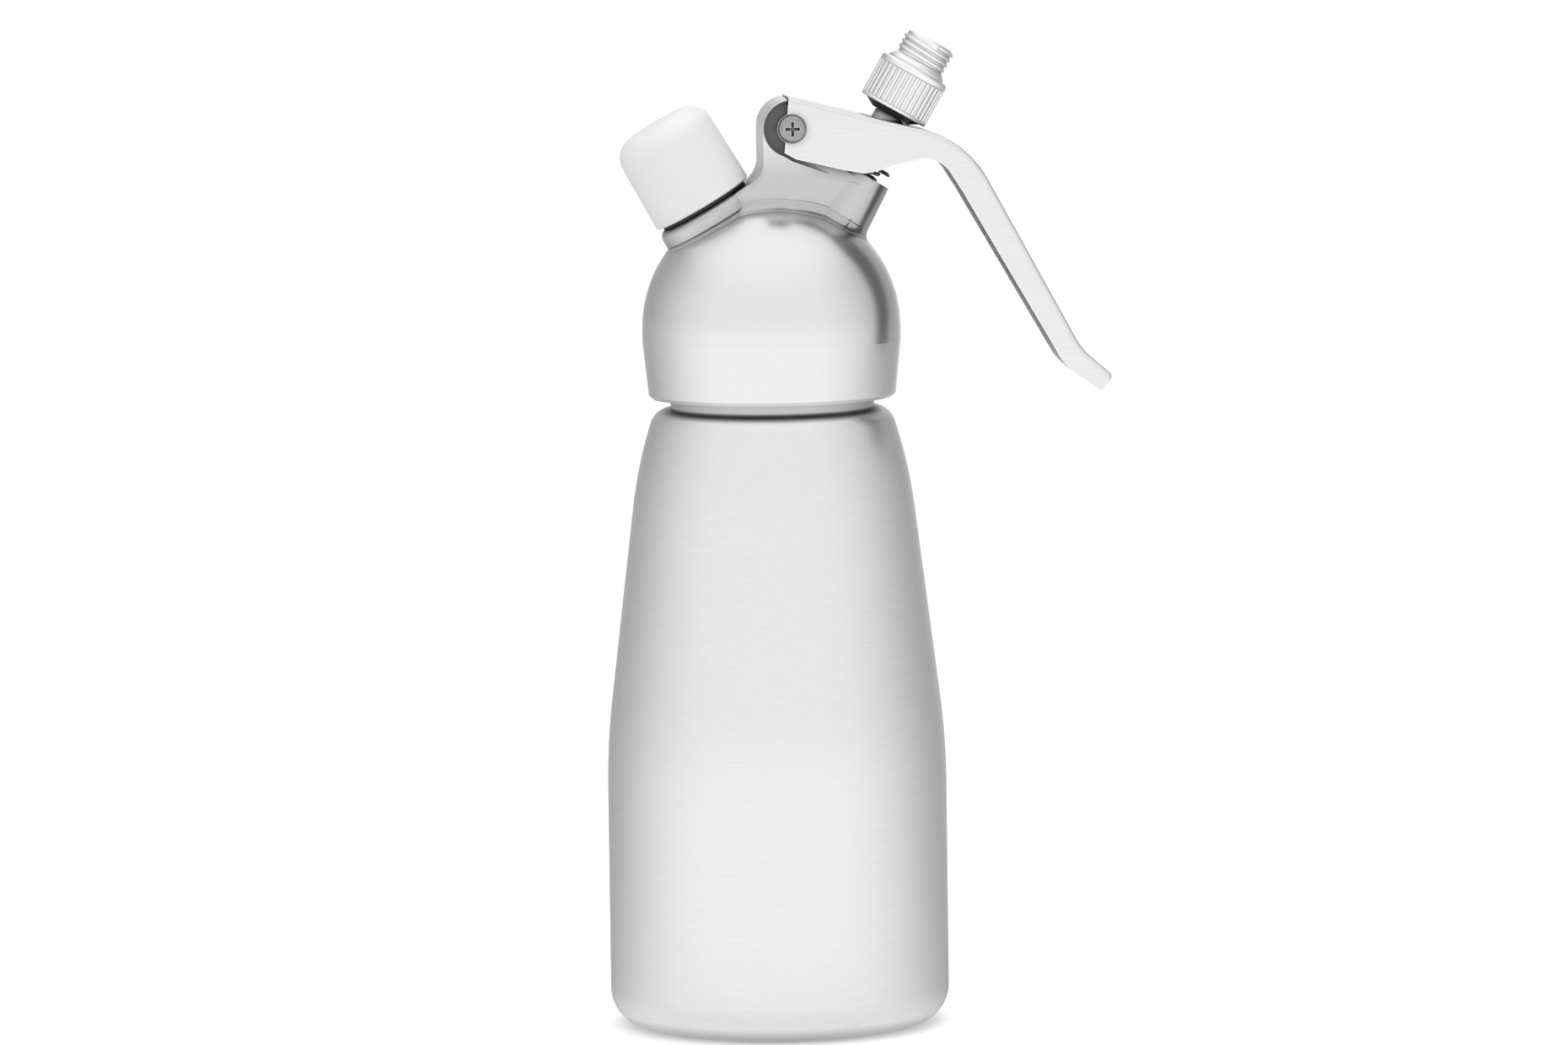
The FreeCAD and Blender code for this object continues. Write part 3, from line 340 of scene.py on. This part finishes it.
def polishedMetal(name, look):
    # tumbled and polished sheet: soft waviness, faint long scratches, and a painted highlight on the edges
    material, tree, shader, spot = newMaterial(name)
    wave = addNode(tree, "ShaderNodeTexNoise", Scale=look["waveScale"], Detail=2.0)
    tree.links.new(spot, wave.inputs["Vector"])
    mapping = tree.nodes.new("ShaderNodeMapping")
    mapping.inputs["Rotation"].default_value = (0, radians(look["scratchTilt"]), 0)
    mapping.inputs["Scale"].default_value = look["scratchScale"]
    tree.links.new(spot, mapping.inputs["Vector"])
    scratch = addNode(tree, "ShaderNodeTexNoise", Scale=1.0, Detail=3.0, Roughness=0.6)
    tree.links.new(mapping.outputs[0], scratch.inputs["Vector"])
    edgeHighlight = useGroup(tree, paintedEdgeHighlight, coordinates=spot, radius=look["edge"], strength=look["edgeHighlight"])
    tone = mixColour(tree, scratch.outputs["Fac"], look["dark"], look["light"])
    # painted highlight: convex edges are lifted towards the bright edge tone
    withHighlight = mixColour(tree, edgeHighlight.outputs["Highlight"], tone, look["highlightTone"])
    # the hollow side of the stamping is left duller than the outside
    shape = addNode(tree, "ShaderNodeNewGeometry")
    facing = addNode(tree, "ShaderNodeVectorMath", operation="DOT_PRODUCT")
    tree.links.new(shape.outputs["True Normal"], facing.inputs[0])
    facing.inputs[1].default_value = look["hollowSide"]
    inward = addNode(tree, "ShaderNodeMath", operation="MULTIPLY", use_clamp=True)
    tree.links.new(facing.outputs["Value"], inward.inputs[0])
    inward.inputs[1].default_value = look["hollowShade"]
    dull = mixColour(tree, inward.outputs[0], withHighlight, look["hollowTone"])
    tree.links.new(paintCreviceShade(tree, dull, look), shader.inputs["Base Color"])
    shader.inputs["Metallic"].default_value = 1.0
    tree.links.new(spread(tree, scratch.outputs["Fac"], look["roughLow"], look["roughHigh"]),
                   shader.inputs["Roughness"])
    height = mathNode(tree, "ADD", mathNode(tree, "MULTIPLY", wave.outputs["Fac"], look["waveDepth"]),
                      mathNode(tree, "MULTIPLY", scratch.outputs["Fac"], look["scratchDepth"]))
    bumped(tree, shader, height, 0.5, 0.001)
    return material


leverLook = {"waveScale": 60, "waveDepth": 0.12, "scratchTilt": 28, "scratchScale": (60, 400, 2600),
             "scratchDepth": 0.015, "edge": 0.0007,
             "edgeHighlight": 4.0, "dark": (0.71, 0.71, 0.71), "light": (0.83, 0.83, 0.83),
             "highlightTone": (0.93, 0.93, 0.93), "roughLow": 0.14, "roughHigh": 0.22,
             "hollowSide": (-0.88, 0, -0.48), "hollowShade": 1.2, "hollowTone": (0.22, 0.22, 0.22),
             "reach": 0.0018, "creviceShadeStrength": 1.0, "creviceShadeTone": (0.08, 0.08, 0.08)}


def mouldedPlastic(name, look):
    material, tree, shader, spot = newMaterial(name)
    grain = addNode(tree, "ShaderNodeTexNoise", Scale=look["grain"], Detail=3.0, Roughness=0.6)
    patch = addNode(tree, "ShaderNodeTexNoise", Scale=look["patch"], Detail=2.0)
    for texture in (grain, patch):
        tree.links.new(spot, texture.inputs["Vector"])
    tree.links.new(mixColour(tree, patch.outputs["Fac"], look["dark"], look["light"]),
                   shader.inputs["Base Color"])
    tree.links.new(spread(tree, grain.outputs["Fac"], look["roughLow"], look["roughHigh"]),
                   shader.inputs["Roughness"])
    shader.inputs["Subsurface Weight"].default_value = look["subsurface"]
    shader.inputs["Subsurface Scale"].default_value = look["depth"]
    shader.inputs["Specular IOR Level"].default_value = look["specular"]
    bumped(tree, shader, grain.outputs["Fac"], look["bump"], 0.0001)
    return material


capLook = {"grain": 2600, "patch": 60, "dark": (0.785, 0.785, 0.785), "light": (0.82, 0.82, 0.82),
           "roughLow": 0.55, "roughHigh": 0.7, "subsurface": 0.1, "depth": 0.002, "specular": 0.3,
           "bump": 0.25}
darkLook = {"grain": 3000, "patch": 200, "dark": (0.02, 0.02, 0.02), "light": (0.05, 0.05, 0.05),
            "roughLow": 0.35, "roughHigh": 0.5, "subsurface": 0.0, "depth": 0.001, "specular": 0.5,
            "bump": 0.2}
rubberLook = dict(darkLook, dark=(0.012, 0.012, 0.012), light=(0.03, 0.03, 0.03), roughLow=0.5, roughHigh=0.7)
siliconeLook = dict(darkLook, dark=(0.42, 0.42, 0.42), light=(0.52, 0.52, 0.52), roughLow=0.45, roughHigh=0.6)

# what leans: degrees about Y, and where its axis crosses the bottle's, in metres
valveAxis = {"tilt": 30, "rise": 0.165}
inletAxis = {"tilt": -30, "rise": 0.167}

finishes = {
    "brushed_aluminium": turnedMetal("brushedBottle", bottleLook),
    "cast_aluminium": turnedMetal("satinHead", castLook),
    "polished_alloy": polishedMetal("polishedLever", leverLook),
    "satin_alloy": turnedMetal("turnedAlloy", turnedLook, **valveAxis),
    "stainless": turnedMetal("turnedSteel", steelLook, **valveAxis),
    "spring_steel": turnedMetal("drawnWire", wireLook, **valveAxis),
    "brass": turnedMetal("turnedBrass", brassLook, **valveAxis),
    "white_plastic": mouldedPlastic("whitePlastic", capLook),
    "dark_plastic": mouldedPlastic("darkPlastic", darkLook),
    "black_rubber": mouldedPlastic("blackRubber", rubberLook),
    "grey_silicone": mouldedPlastic("greySilicone", siliconeLook),
}
slotOf = {part["node"]: part["material_slot"] for part in frame["record"]["subparts"]}

inletFinishes = {
    "satin_alloy": turnedMetal("turnedInletAlloy", turnedLook, **inletAxis),
    "stainless": turnedMetal("turnedInletSteel", steelLook, **inletAxis),
    "brass": turnedMetal("turnedInletBrass", brassLook, **inletAxis),
}
inletNodes = ("inlet_spigot", "piercing_pin", "check_valve")


def dressNodes():
    for name, item in frame["nodes"].items():
        slot = slotOf[name]
        finish = inletFinishes[slot] if name in inletNodes else finishes[slot]
        item.data.materials.clear()
        item.data.materials.append(finish)


dressNodes()
print("finishes made and laid on the carried-over nodes")


# Geometry Nodes helpers for what repeats
def newTree(name, inputs):
    tree = bpy.data.node_groups.new(name, "GeometryNodeTree")
    tree.interface.new_socket(name="Geometry", in_out="INPUT", socket_type="NodeSocketGeometry")
    for label, kind, value in inputs:
        socket = tree.interface.new_socket(name=label, in_out="INPUT", socket_type=kind)
        if value is not None:
            socket.default_value = value
    tree.interface.new_socket(name="Geometry", in_out="OUTPUT", socket_type="NodeSocketGeometry")
    return tree, tree.nodes.new("NodeGroupInput"), tree.nodes.new("NodeGroupOutput")


def finishTree(tree, given, result, geometry):
    realize = tree.nodes.new("GeometryNodeRealizeInstances")
    paint = tree.nodes.new("GeometryNodeSetMaterial")
    tree.links.new(geometry, realize.inputs[0])
    tree.links.new(realize.outputs[0], paint.inputs["Geometry"])
    tree.links.new(given.outputs["Material"], paint.inputs["Material"])
    tree.links.new(paint.outputs[0], result.inputs[0])


def makeThreadTree():
    # one helical ridge of rounded section, tapering to nothing at both ends
    tree, given, result = newTree("threadRidge", [
        ("Radius", "NodeSocketFloat", 0.01), ("Pitch", "NodeSocketFloat", 0.001),
        ("Turns", "NodeSocketFloat", 4.0), ("Ridge", "NodeSocketFloat", 0.0003),
        ("Material", "NodeSocketMaterial", None)])
    link = tree.links.new
    spiral = tree.nodes.new("GeometryNodeCurveSpiral")
    spiral.inputs["Resolution"].default_value = 64
    link(given.outputs["Turns"], spiral.inputs["Rotations"])
    link(given.outputs["Radius"], spiral.inputs["Start Radius"])
    link(given.outputs["Radius"], spiral.inputs["End Radius"])
    link(mathNode(tree, "MULTIPLY", given.outputs["Turns"], given.outputs["Pitch"]), spiral.inputs["Height"])
    place = tree.nodes.new("GeometryNodeSplineParameter")
    nearEnd = mathNode(tree, "MINIMUM", place.outputs["Factor"],
                       mathNode(tree, "SUBTRACT", 1.0, place.outputs["Factor"]))
    swell = tree.nodes.new("ShaderNodeMapRange")
    swell.inputs["From Max"].default_value = 0.06
    swell.inputs["To Min"].default_value = 0.15
    link(nearEnd, swell.inputs["Value"])
    thick = tree.nodes.new("GeometryNodeSetCurveRadius")
    link(spiral.outputs[0], thick.inputs["Curve"])
    link(swell.outputs[0], thick.inputs["Radius"])
    section = tree.nodes.new("GeometryNodeCurvePrimitiveCircle")
    section.inputs["Resolution"].default_value = 10
    link(given.outputs["Ridge"], section.inputs["Radius"])
    sweep = tree.nodes.new("GeometryNodeCurveToMesh")
    sweep.inputs["Fill Caps"].default_value = True
    link(thick.outputs[0], sweep.inputs["Curve"])
    link(section.outputs["Curve"], sweep.inputs["Profile Curve"])
    join = tree.nodes.new("GeometryNodeJoinGeometry")
    link(given.outputs["Geometry"], join.inputs[0])
    link(sweep.outputs[0], join.inputs[0])
    finishTree(tree, given, result, join.outputs[0])
    return tree


def makeRibTree():
    # rounded ribs stood in a ring round the turned body that comes in
    tree, given, result = newTree("ribRing", [
        ("Count", "NodeSocketInt", 30), ("Ring radius", "NodeSocketFloat", 0.008),
        ("Rib radius", "NodeSocketFloat", 0.0005), ("Rib length", "NodeSocketFloat", 0.01),
        ("Foot", "NodeSocketFloat", 0.0), ("Material", "NodeSocketMaterial", None)])
    link = tree.links.new
    ring = tree.nodes.new("GeometryNodeMeshCircle")
    link(given.outputs["Count"], ring.inputs["Vertices"])
    link(given.outputs["Ring radius"], ring.inputs["Radius"])
    rib = tree.nodes.new("GeometryNodeMeshCylinder")
    rib.inputs["Vertices"].default_value = 12
    rib.inputs["Side Segments"].default_value = 4
    link(given.outputs["Rib radius"], rib.inputs["Radius"])
    link(given.outputs["Rib length"], rib.inputs["Depth"])
    stand = tree.nodes.new("GeometryNodeInstanceOnPoints")
    link(ring.outputs[0], stand.inputs["Points"])
    link(rib.outputs[0], stand.inputs["Instance"])
    lift = tree.nodes.new("ShaderNodeCombineXYZ")
    middle = mathNode(tree, "ADD", given.outputs["Foot"],
                      mathNode(tree, "MULTIPLY", given.outputs["Rib length"], 0.5))
    link(middle, lift.inputs[2])
    raised = tree.nodes.new("GeometryNodeTransform")
    link(stand.outputs[0], raised.inputs["Geometry"])
    link(lift.outputs[0], raised.inputs["Translation"])
    join = tree.nodes.new("GeometryNodeJoinGeometry")
    link(given.outputs["Geometry"], join.inputs[0])
    link(raised.outputs[0], join.inputs[0])
    finishTree(tree, given, result, join.outputs[0])
    return tree


threadRidge = makeThreadTree()
ribRing = makeRibTree()


def grow(item, tree, **values):
    # run a tree on an object and keep the result as its plain mesh
    modifier = item.modifiers.new(tree.name, "NODES")
    modifier.node_group = tree
    names = {socket.name: socket.identifier for socket in tree.interface.items_tree
             if socket.in_out == "INPUT"}
    for key, value in values.items():
        modifier[names[key[0].upper() + key[1:].replace("_", " ")]] = value
    bpy.context.view_layer.update()
    ready = item.evaluated_get(bpy.context.evaluated_depsgraph_get())
    mesh = bpy.data.meshes.new_from_object(ready)
    item.modifiers.clear()
    item.data = mesh
    mesh.shade_smooth()
    return item


def newObject(name, vertices=(), faces=()):
    mesh = bpy.data.meshes.new(name)
    mesh.from_pydata(vertices, [], faces)
    item = bpy.data.objects.new(name, mesh)
    scene.collection.objects.link(item)
    return item


def lathe(name, profile, segments=96):
    # a closed outline of (radius, height) pairs turned round Z
    vertices, faces = [], []
    count = len(profile)
    for step in range(segments):
        angle = 2 * pi * step / segments
        vertices += [(r * cos(angle), r * sin(angle), z) for r, z in profile]
    for step in range(segments):
        here, there = step * count, (step + 1) % segments * count
        for n in range(count):
            m = (n + 1) % count
            faces.append((here + n, there + n, there + m, here + m))
    return newObject(name, vertices, faces)


def slanted(item, base, tilt):
    # move a piece made along +Z onto an axis that leans by tilt degrees from (0, 0, base)
    item.data.transform(Matrix.Translation((0, 0, base)) @ Matrix.Rotation(radians(tilt), 4, "Y"))
    item.data.update()


def softEdges(item, width, segments=2, angle=35):
    bevel = item.modifiers.new("softEdges", "BEVEL")
    bevel.width = width
    bevel.segments = segments
    bevel.limit_method = "ANGLE"
    bevel.angle_limit = radians(angle)
    bevel.harden_normals = True


# Nozzle adapter: turned body, ribbed skirt and male thread
nozzle = {
    "tilt": 30, "axisFoot": 165, "bottom": 58.4, "bore": 3.05, "skirtCore": 8.1, "skirtTop": 69.5,
    "shoulder": 7.1, "threadCore": 5.75, "threadFoot": 71.0, "top": 77.08, "mouth": 2.4,
    "ribs": 34, "ribRadius": 0.42, "ribFoot": 59.2, "ribLength": 8.6, "ribRing": 8.12,
    "rimProud": 0.42, "rimSlope": 0.35, "breakEdge": 0.5, "boreTop": 70.05, "segments": 120,
    "pitch": 1.35, "turns": 3.2, "ridge": 0.5, "threadStart": 72.0, "edge": 0.25,
}


def makeNozzleAdapter(n):
    skirt, rim, small = n["skirtCore"], n["skirtCore"] + n["rimProud"], n["breakEdge"]
    ribTop = n["ribFoot"] + n["ribLength"]
    profile = [
        (n["bore"], n["bottom"]), (skirt + 0.1, n["bottom"]), (rim, n["bottom"] + n["rimSlope"]),
        (rim, n["ribFoot"] - 0.1), (skirt, n["ribFoot"] + 0.2), (skirt, ribTop - 0.2), (rim, ribTop + 0.15),
        (rim, n["skirtTop"] - small), (skirt - 0.1, n["skirtTop"]),
        (n["shoulder"], n["skirtTop"]), (n["shoulder"], n["skirtTop"] + small),
        (n["threadCore"] + small, n["threadFoot"]), (n["threadCore"], n["threadFoot"] + 0.4),
        (n["threadCore"], n["top"] - small), (n["threadCore"] - small, n["top"]),
        (n["mouth"] + 0.3, n["top"]), (n["mouth"], n["top"] - 0.3), (n["mouth"], n["boreTop"]),
        (n["bore"], n["boreTop"]),
    ]
    adapter = lathe("nozzleAdapter", [(r * mm, z * mm) for r, z in profile], n["segments"])
    finish = finishes["satin_alloy"]
    adapter.data.materials.append(finish)
    grow(adapter, ribRing, count=n["ribs"], ring_radius=n["ribRing"] * mm, rib_radius=n["ribRadius"] * mm,
         rib_length=n["ribLength"] * mm, foot=n["ribFoot"] * mm, material=finish)
    thread = newObject("nozzleThread")
    grow(thread, threadRidge, radius=n["threadCore"] * mm, pitch=n["pitch"] * mm, turns=n["turns"],
         ridge=n["ridge"] * mm, material=finish)
    thread.data.transform(Matrix.Translation((0, 0, n["threadStart"] * mm)))
    for item in (adapter, thread):
        slanted(item, n["axisFoot"] * mm, n["tilt"])
        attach(item, "adapter")
    softEdges(adapter, n["edge"] * mm)
    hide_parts("nozzle_adapter")


makeNozzleAdapter(nozzle)


# Threads under the head and under the cap
neckThread = {"radius": 23.98, "pitch": 2.6, "turns": 3.5, "ridge": 0.3, "start": 150.5}
spigotThread = {"radius": 9.97, "pitch": 1.5, "turns": 7.0, "ridge": 0.26, "start": 33.4,
                "tilt": -30, "axisFoot": 167}


def makePlainThread(name, t, body, slot):
    thread = newObject(name)
    grow(thread, threadRidge, radius=t["radius"] * mm, pitch=t["pitch"] * mm, turns=t["turns"],
         ridge=t["ridge"] * mm, material=finishes[slot])
    thread.data.transform(Matrix.Translation((0, 0, t["start"] * mm)))
    slanted(thread, t.get("axisFoot", 0) * mm, t.get("tilt", 0))
    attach(thread, body)


makePlainThread("neckThread", neckThread, "bottle", "brushed_aluminium")
makePlainThread("spigotThread", spigotThread, "head", "satin_alloy")
print("threads and nozzle adapter built")


# Cast fillets where the bridge and the two bosses run into the dome
casting = {
    "domeCentre": (0, 0, 165), "domeRadius": 30.4, "steps": 8, "buried": 0.8,
    "bridgeFillet": 3.0, "bridgeFrom": -33, "bridgeTo": 36, "bridgeHalf": 10.0, "lugHalf": 8.2,
    "bridgeSections": 48, "taperStart": 4.7, "taperRun": 9.0, "reachShare": 0.9,
    "valveFillet": 2.6, "valveFoot": 165, "valveTilt": 30, "valveRadius": 9.2, "valveDraft": 0.0505,
    "valveSeat": 22.0, "valveRange": (-112, 112), "bossSections": 72, "innerShare": 0.25,
    "firstRun": 30.0, "rounds": 6, "inletRange": (50, 310),
    "inletFillet": 2.0, "inletFoot": 167, "inletTilt": -30, "inletRadius": 11.9,
}


def arcBetween(centre, first, last, steps):
    # points of the short arc about centre from first to last
    a, b = first - centre, last - centre
    angle = a.angle(b)
    points = []
    for n in range(steps + 1):
        part = n / steps
        mix = a * (sin((1 - part) * angle) / sin(angle)) + b * (sin(part * angle) / sin(angle))
        points.append(centre + mix)
    return points


def beadMesh(name, sections):
    # a solid bead through cross-sections of equal size, capped at both ends
    count = len(sections[0])
    vertices = [tuple(point * mm) for section in sections for point in section]
    faces = []
    for s in range(len(sections) - 1):
        here, there = s * count, (s + 1) * count
        for n in range(count):
            m = (n + 1) % count
            faces.append((here + n, here + m, there + m, there + n))
    faces += [tuple(reversed(range(count))), tuple(range(len(vertices) - count, len(vertices)))]
    item = newObject(name, vertices, faces)
    work = bmesh.new()
    work.from_mesh(item.data)
    bmesh.ops.recalc_face_normals(work, faces=work.faces)
    work.to_mesh(item.data)
    work.free()
    item.data.shade_smooth()
    return item


def bridgeBead(c, side):
    # rolling ball between the dome and one side of the bridge
    middle, big, ball = Vector(c["domeCentre"]), c["domeRadius"], c["bridgeFillet"]
    sections = []
    for n in range(c["bridgeSections"] + 1):
        turn = radians(c["bridgeFrom"] + (c["bridgeTo"] - c["bridgeFrom"]) * n / c["bridgeSections"])
        out = Vector((sin(turn), 0, cos(turn)))
        across = (big + ball) * sin(turn) * c["reachShare"]
        share = min(max((across - c["taperStart"]) / c["taperRun"], 0), 1)
        face = c["bridgeHalf"] + (c["lugHalf"] - c["bridgeHalf"]) * share
        depth = face + ball
        centre = middle + out * sqrt((big + ball) ** 2 - depth ** 2) + Vector((0, side * depth, 0))
        onFace = Vector((centre.x, side * face, centre.z))
        onDome = middle + (centre - middle) * (big / (big + ball))
        depthBelow = out * (sqrt(big ** 2 - face ** 2) - c["buried"])
        corner = middle + depthBelow + Vector((0, side * (face - c["buried"]), 0))
        sections.append(arcBetween(centre, onFace, onDome, c["steps"])
                        + [onDome - (onDome - middle).normalized() * c["buried"], corner,
                           onFace - Vector((0, side * c["buried"], 0))])
    return beadMesh("bridgeFilletFront" if side < 0 else "bridgeFilletRear", sections)


def bossBead(c, kind):
    # rolling ball between the dome and a slanted boss, over a range of angles round the boss
    first, last = c[kind + "Range"]
    tilt = radians(c[kind + "Tilt"])
    axis = Vector((sin(tilt), 0, cos(tilt)))
    ahead = Vector((cos(tilt), 0, -sin(tilt)))
    foot = Vector((0, 0, c[kind + "Foot"]))
    middle, big, ball = Vector(c["domeCentre"]), c["domeRadius"], c[kind + "Fillet"]
    sections = []
    for n in range(c["bossSections"] + 1):
        turn = radians(first + (last - first) * n / c["bossSections"])
        out = ahead * cos(turn) + Vector((0, 1, 0)) * sin(turn)
        run = c["firstRun"]
        for _ in range(c["rounds"]):
            radius = c[kind + "Radius"]
            if kind == "valve":
                radius -= (run - c["valveSeat"]) * c["valveDraft"]
            start = foot + out * (radius + ball) - middle
            lean = start.dot(axis)
            run = -lean + sqrt(lean ** 2 - start.length_squared + (big + ball) ** 2)
        centre = foot + axis * run + out * (radius + ball)
        onBoss = foot + axis * run + out * radius
        onDome = middle + (centre - middle) * (big / (big + ball))
        inner = onBoss - out * c["buried"]
        corner = onDome - (onDome - middle).normalized() * c["buried"]
        sections.append(arcBetween(centre, onBoss, onDome, c["steps"])
                        + [corner, corner - out * (radius + ball) * c["innerShare"], inner])
    return beadMesh(kind + "Fillet", sections)


def makeCastFillets(c):
    for bead in (bridgeBead(c, -1), bridgeBead(c, 1), bossBead(c, "valve"), bossBead(c, "inlet")):
        bead.data.materials.append(finishes["cast_aluminium"])
        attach(bead, "head")


makeCastFillets(casting)
print("cast fillets built")


# Floor, backdrop and light
studio = {
    # how bright the surroundings look in the metal, by angle away from the front:
    # (part of a half turn, tone)
    "ring": ((0.0, 1.0), (0.26, 1.0), (0.37, 0.93), (0.48, 0.79), (0.57, 0.64), (0.66, 0.52),
             (0.75, 0.41), (0.87, 0.42), (0.94, 0.75), (1.0, 1.0)),
    "turn": 0.14,
    "gain": 1.24,
    "overhead": 1.07,
    "overheadFrom": (0.45, 0.95),
    "eyeDrop": -0.03,
    "floorSize": 60,
    "floorTone": (0.82, 0.82, 0.82),
    "floorGlow": 0.35,
    "floorShare": 0.9,
    "shadeFloor": 0.84,
    "shadeReach": (0.05, 0.14),
}
lamps = {
    "frontSoftbox": {"place": (-0.5, -1.8, 1.2), "aim": (0, 0, 0.12), "size": 1.2, "power": 5},
    "topSoftbox": {"place": (0.2, 0.2, 1.6), "aim": (0, 0, 0.1), "size": 1.0, "power": 3},
    "rearSoftbox": {"place": (0.6, 1.6, 0.9), "aim": (0, 0, 0.12), "size": 1.0, "power": 1.5},
}


def makeStudioTone():
    # white straight ahead and straight behind, grey flags at the sides and rear quarters
    group, given, result = newGroup("studioTone", [("Direction", "NodeSocketVector", (0, 0, 0))],
                                    [("Tone", "NodeSocketFloat")])
    level = group.nodes.new("ShaderNodeVectorMath")
    level.operation = "NORMALIZE"
    group.links.new(given.outputs["Direction"], level.inputs[0])
    split = addNode(group, "ShaderNodeSeparateXYZ")
    group.links.new(level.outputs[0], split.inputs[0])
    front = mathNode(group, "MULTIPLY", split.outputs["Y"], -1.0)
    turned = mathNode(group, "ADD", mathNode(group, "ARCTAN2", split.outputs["X"], front), studio["turn"])
    angle = mathNode(group, "ABSOLUTE", turned)
    share = mathNode(group, "DIVIDE", angle, pi)
    ramp = group.nodes.new("ShaderNodeValToRGB")
    stops = ramp.color_ramp.elements
    while len(stops) < len(studio["ring"]):
        stops.new(0.5)
    for stop, (position, tone) in zip(stops, studio["ring"]):
        stop.position = position
        stop.color = (tone, tone, tone, 1)
    group.links.new(share, ramp.inputs[0])
    high = rangeNode(group, split.outputs["Z"], studio["overheadFrom"], (0, 1), "SMOOTHSTEP")
    blend = addNode(group, "ShaderNodeMix")
    group.links.new(high, blend.inputs["Factor"])
    group.links.new(ramp.outputs[0], blend.inputs[2])
    blend.inputs[3].default_value = studio["overhead"]
    group.links.new(blend.outputs[0], result.inputs["Tone"])
    return group


def makeFloor(tone):
    bpy.ops.mesh.primitive_plane_add(size=studio["floorSize"], location=(0, 0, 0))
    floor = bpy.context.object
    floor.name = "floor"
    material, tree, shader, spot = newMaterial("paleFloor")
    shader.inputs["Base Color"].default_value = (*studio["floorTone"], 1)
    shader.inputs["Roughness"].default_value = 0.9
    shader.inputs["Specular IOR Level"].default_value = 0.0
    grain = addNode(tree, "ShaderNodeTexNoise", Scale=300.0)
    tree.links.new(spot, grain.inputs["Vector"])
    bumped(tree, shader, grain.outputs["Fac"], 0.05, 0.0001)
    shader.inputs["Emission Color"].default_value = (1, 1, 1, 1)
    path = tree.nodes.new("ShaderNodeLightPath")
    seenFrom = addNode(tree, "ShaderNodeVectorMath", operation="ADD")
    tree.links.new(spot, seenFrom.inputs[0])
    seenFrom.inputs[1].default_value = (0, 0, studio["eyeDrop"])
    around = useGroup(tree, tone, direction=seenFrom.outputs[0])
    seen = mathNode(tree, "MULTIPLY", path.outputs["Is Camera Ray"], studio["floorGlow"])
    mirrored = mathNode(tree, "MAXIMUM", path.outputs["Is Glossy Ray"], path.outputs["Is Transmission Ray"])
    tree.links.new(seen, shader.inputs["Emission Strength"])
    output = [node for node in tree.nodes if node.type == "OUTPUT_MATERIAL"][0]
    glow = tree.nodes.new("ShaderNodeEmission")
    # the mirrored floor is darker close to the base, where the bottle shades it
    away = addNode(tree, "ShaderNodeVectorMath", operation="LENGTH")
    tree.links.new(spot, away.inputs[0])
    near = rangeNode(tree, away.outputs["Value"], studio["shadeReach"], (studio["shadeFloor"], 1))
    lit = mathNode(tree, "MULTIPLY", around.outputs["Tone"], studio["gain"] * studio["floorShare"])
    tree.links.new(mathNode(tree, "MULTIPLY", lit, near), glow.inputs["Strength"])
    mix = tree.nodes.new("ShaderNodeMixShader")
    tree.links.new(mirrored, mix.inputs[0])
    tree.links.new(shader.outputs[0], mix.inputs[1])
    tree.links.new(glow.outputs[0], mix.inputs[2])
    tree.links.new(mix.outputs[0], output.inputs[0])
    floor.data.materials.append(material)


def makeWorld(tone):
    world = bpy.data.worlds.new("studioWorld")
    scene.world = world
    world.use_nodes = True
    tree = world.node_tree
    tree.nodes.clear()
    output = tree.nodes.new("ShaderNodeOutputWorld")
    seen = tree.nodes.new("ShaderNodeBackground")
    light = tree.nodes.new("ShaderNodeBackground")
    mix = tree.nodes.new("ShaderNodeMixShader")
    path = tree.nodes.new("ShaderNodeLightPath")
    place = tree.nodes.new("ShaderNodeTexCoord")
    seen.inputs["Color"].default_value = (1, 1, 1, 1)
    around = useGroup(tree, tone, direction=place.outputs["Generated"])
    strength = mathNode(tree, "MULTIPLY", around.outputs["Tone"], studio["gain"])
    tree.links.new(strength, light.inputs["Strength"])
    tree.links.new(path.outputs["Is Camera Ray"], mix.inputs[0])
    tree.links.new(light.outputs[0], mix.inputs[1])
    tree.links.new(seen.outputs[0], mix.inputs[2])
    tree.links.new(mix.outputs[0], output.inputs[0])


def areaLight(name, lamp):
    data = bpy.data.lights.new(name, "AREA")
    data.shape = "RECTANGLE"
    data.size = data.size_y = lamp["size"]
    data.energy = lamp["power"]
    item = bpy.data.objects.new(name, data)
    item.visible_glossy = False
    scene.collection.objects.link(item)
    item.location = lamp["place"]
    facing = Vector(lamp["aim"]) - Vector(lamp["place"])
    item.rotation_euler = facing.to_track_quat("-Z", "Y").to_euler()


studioTone = makeStudioTone()
makeFloor(studioTone)
makeWorld(studioTone)
for name, lamp in lamps.items():
    areaLight(name, lamp)
scene.view_settings.view_transform = "Standard"
print("studio set")
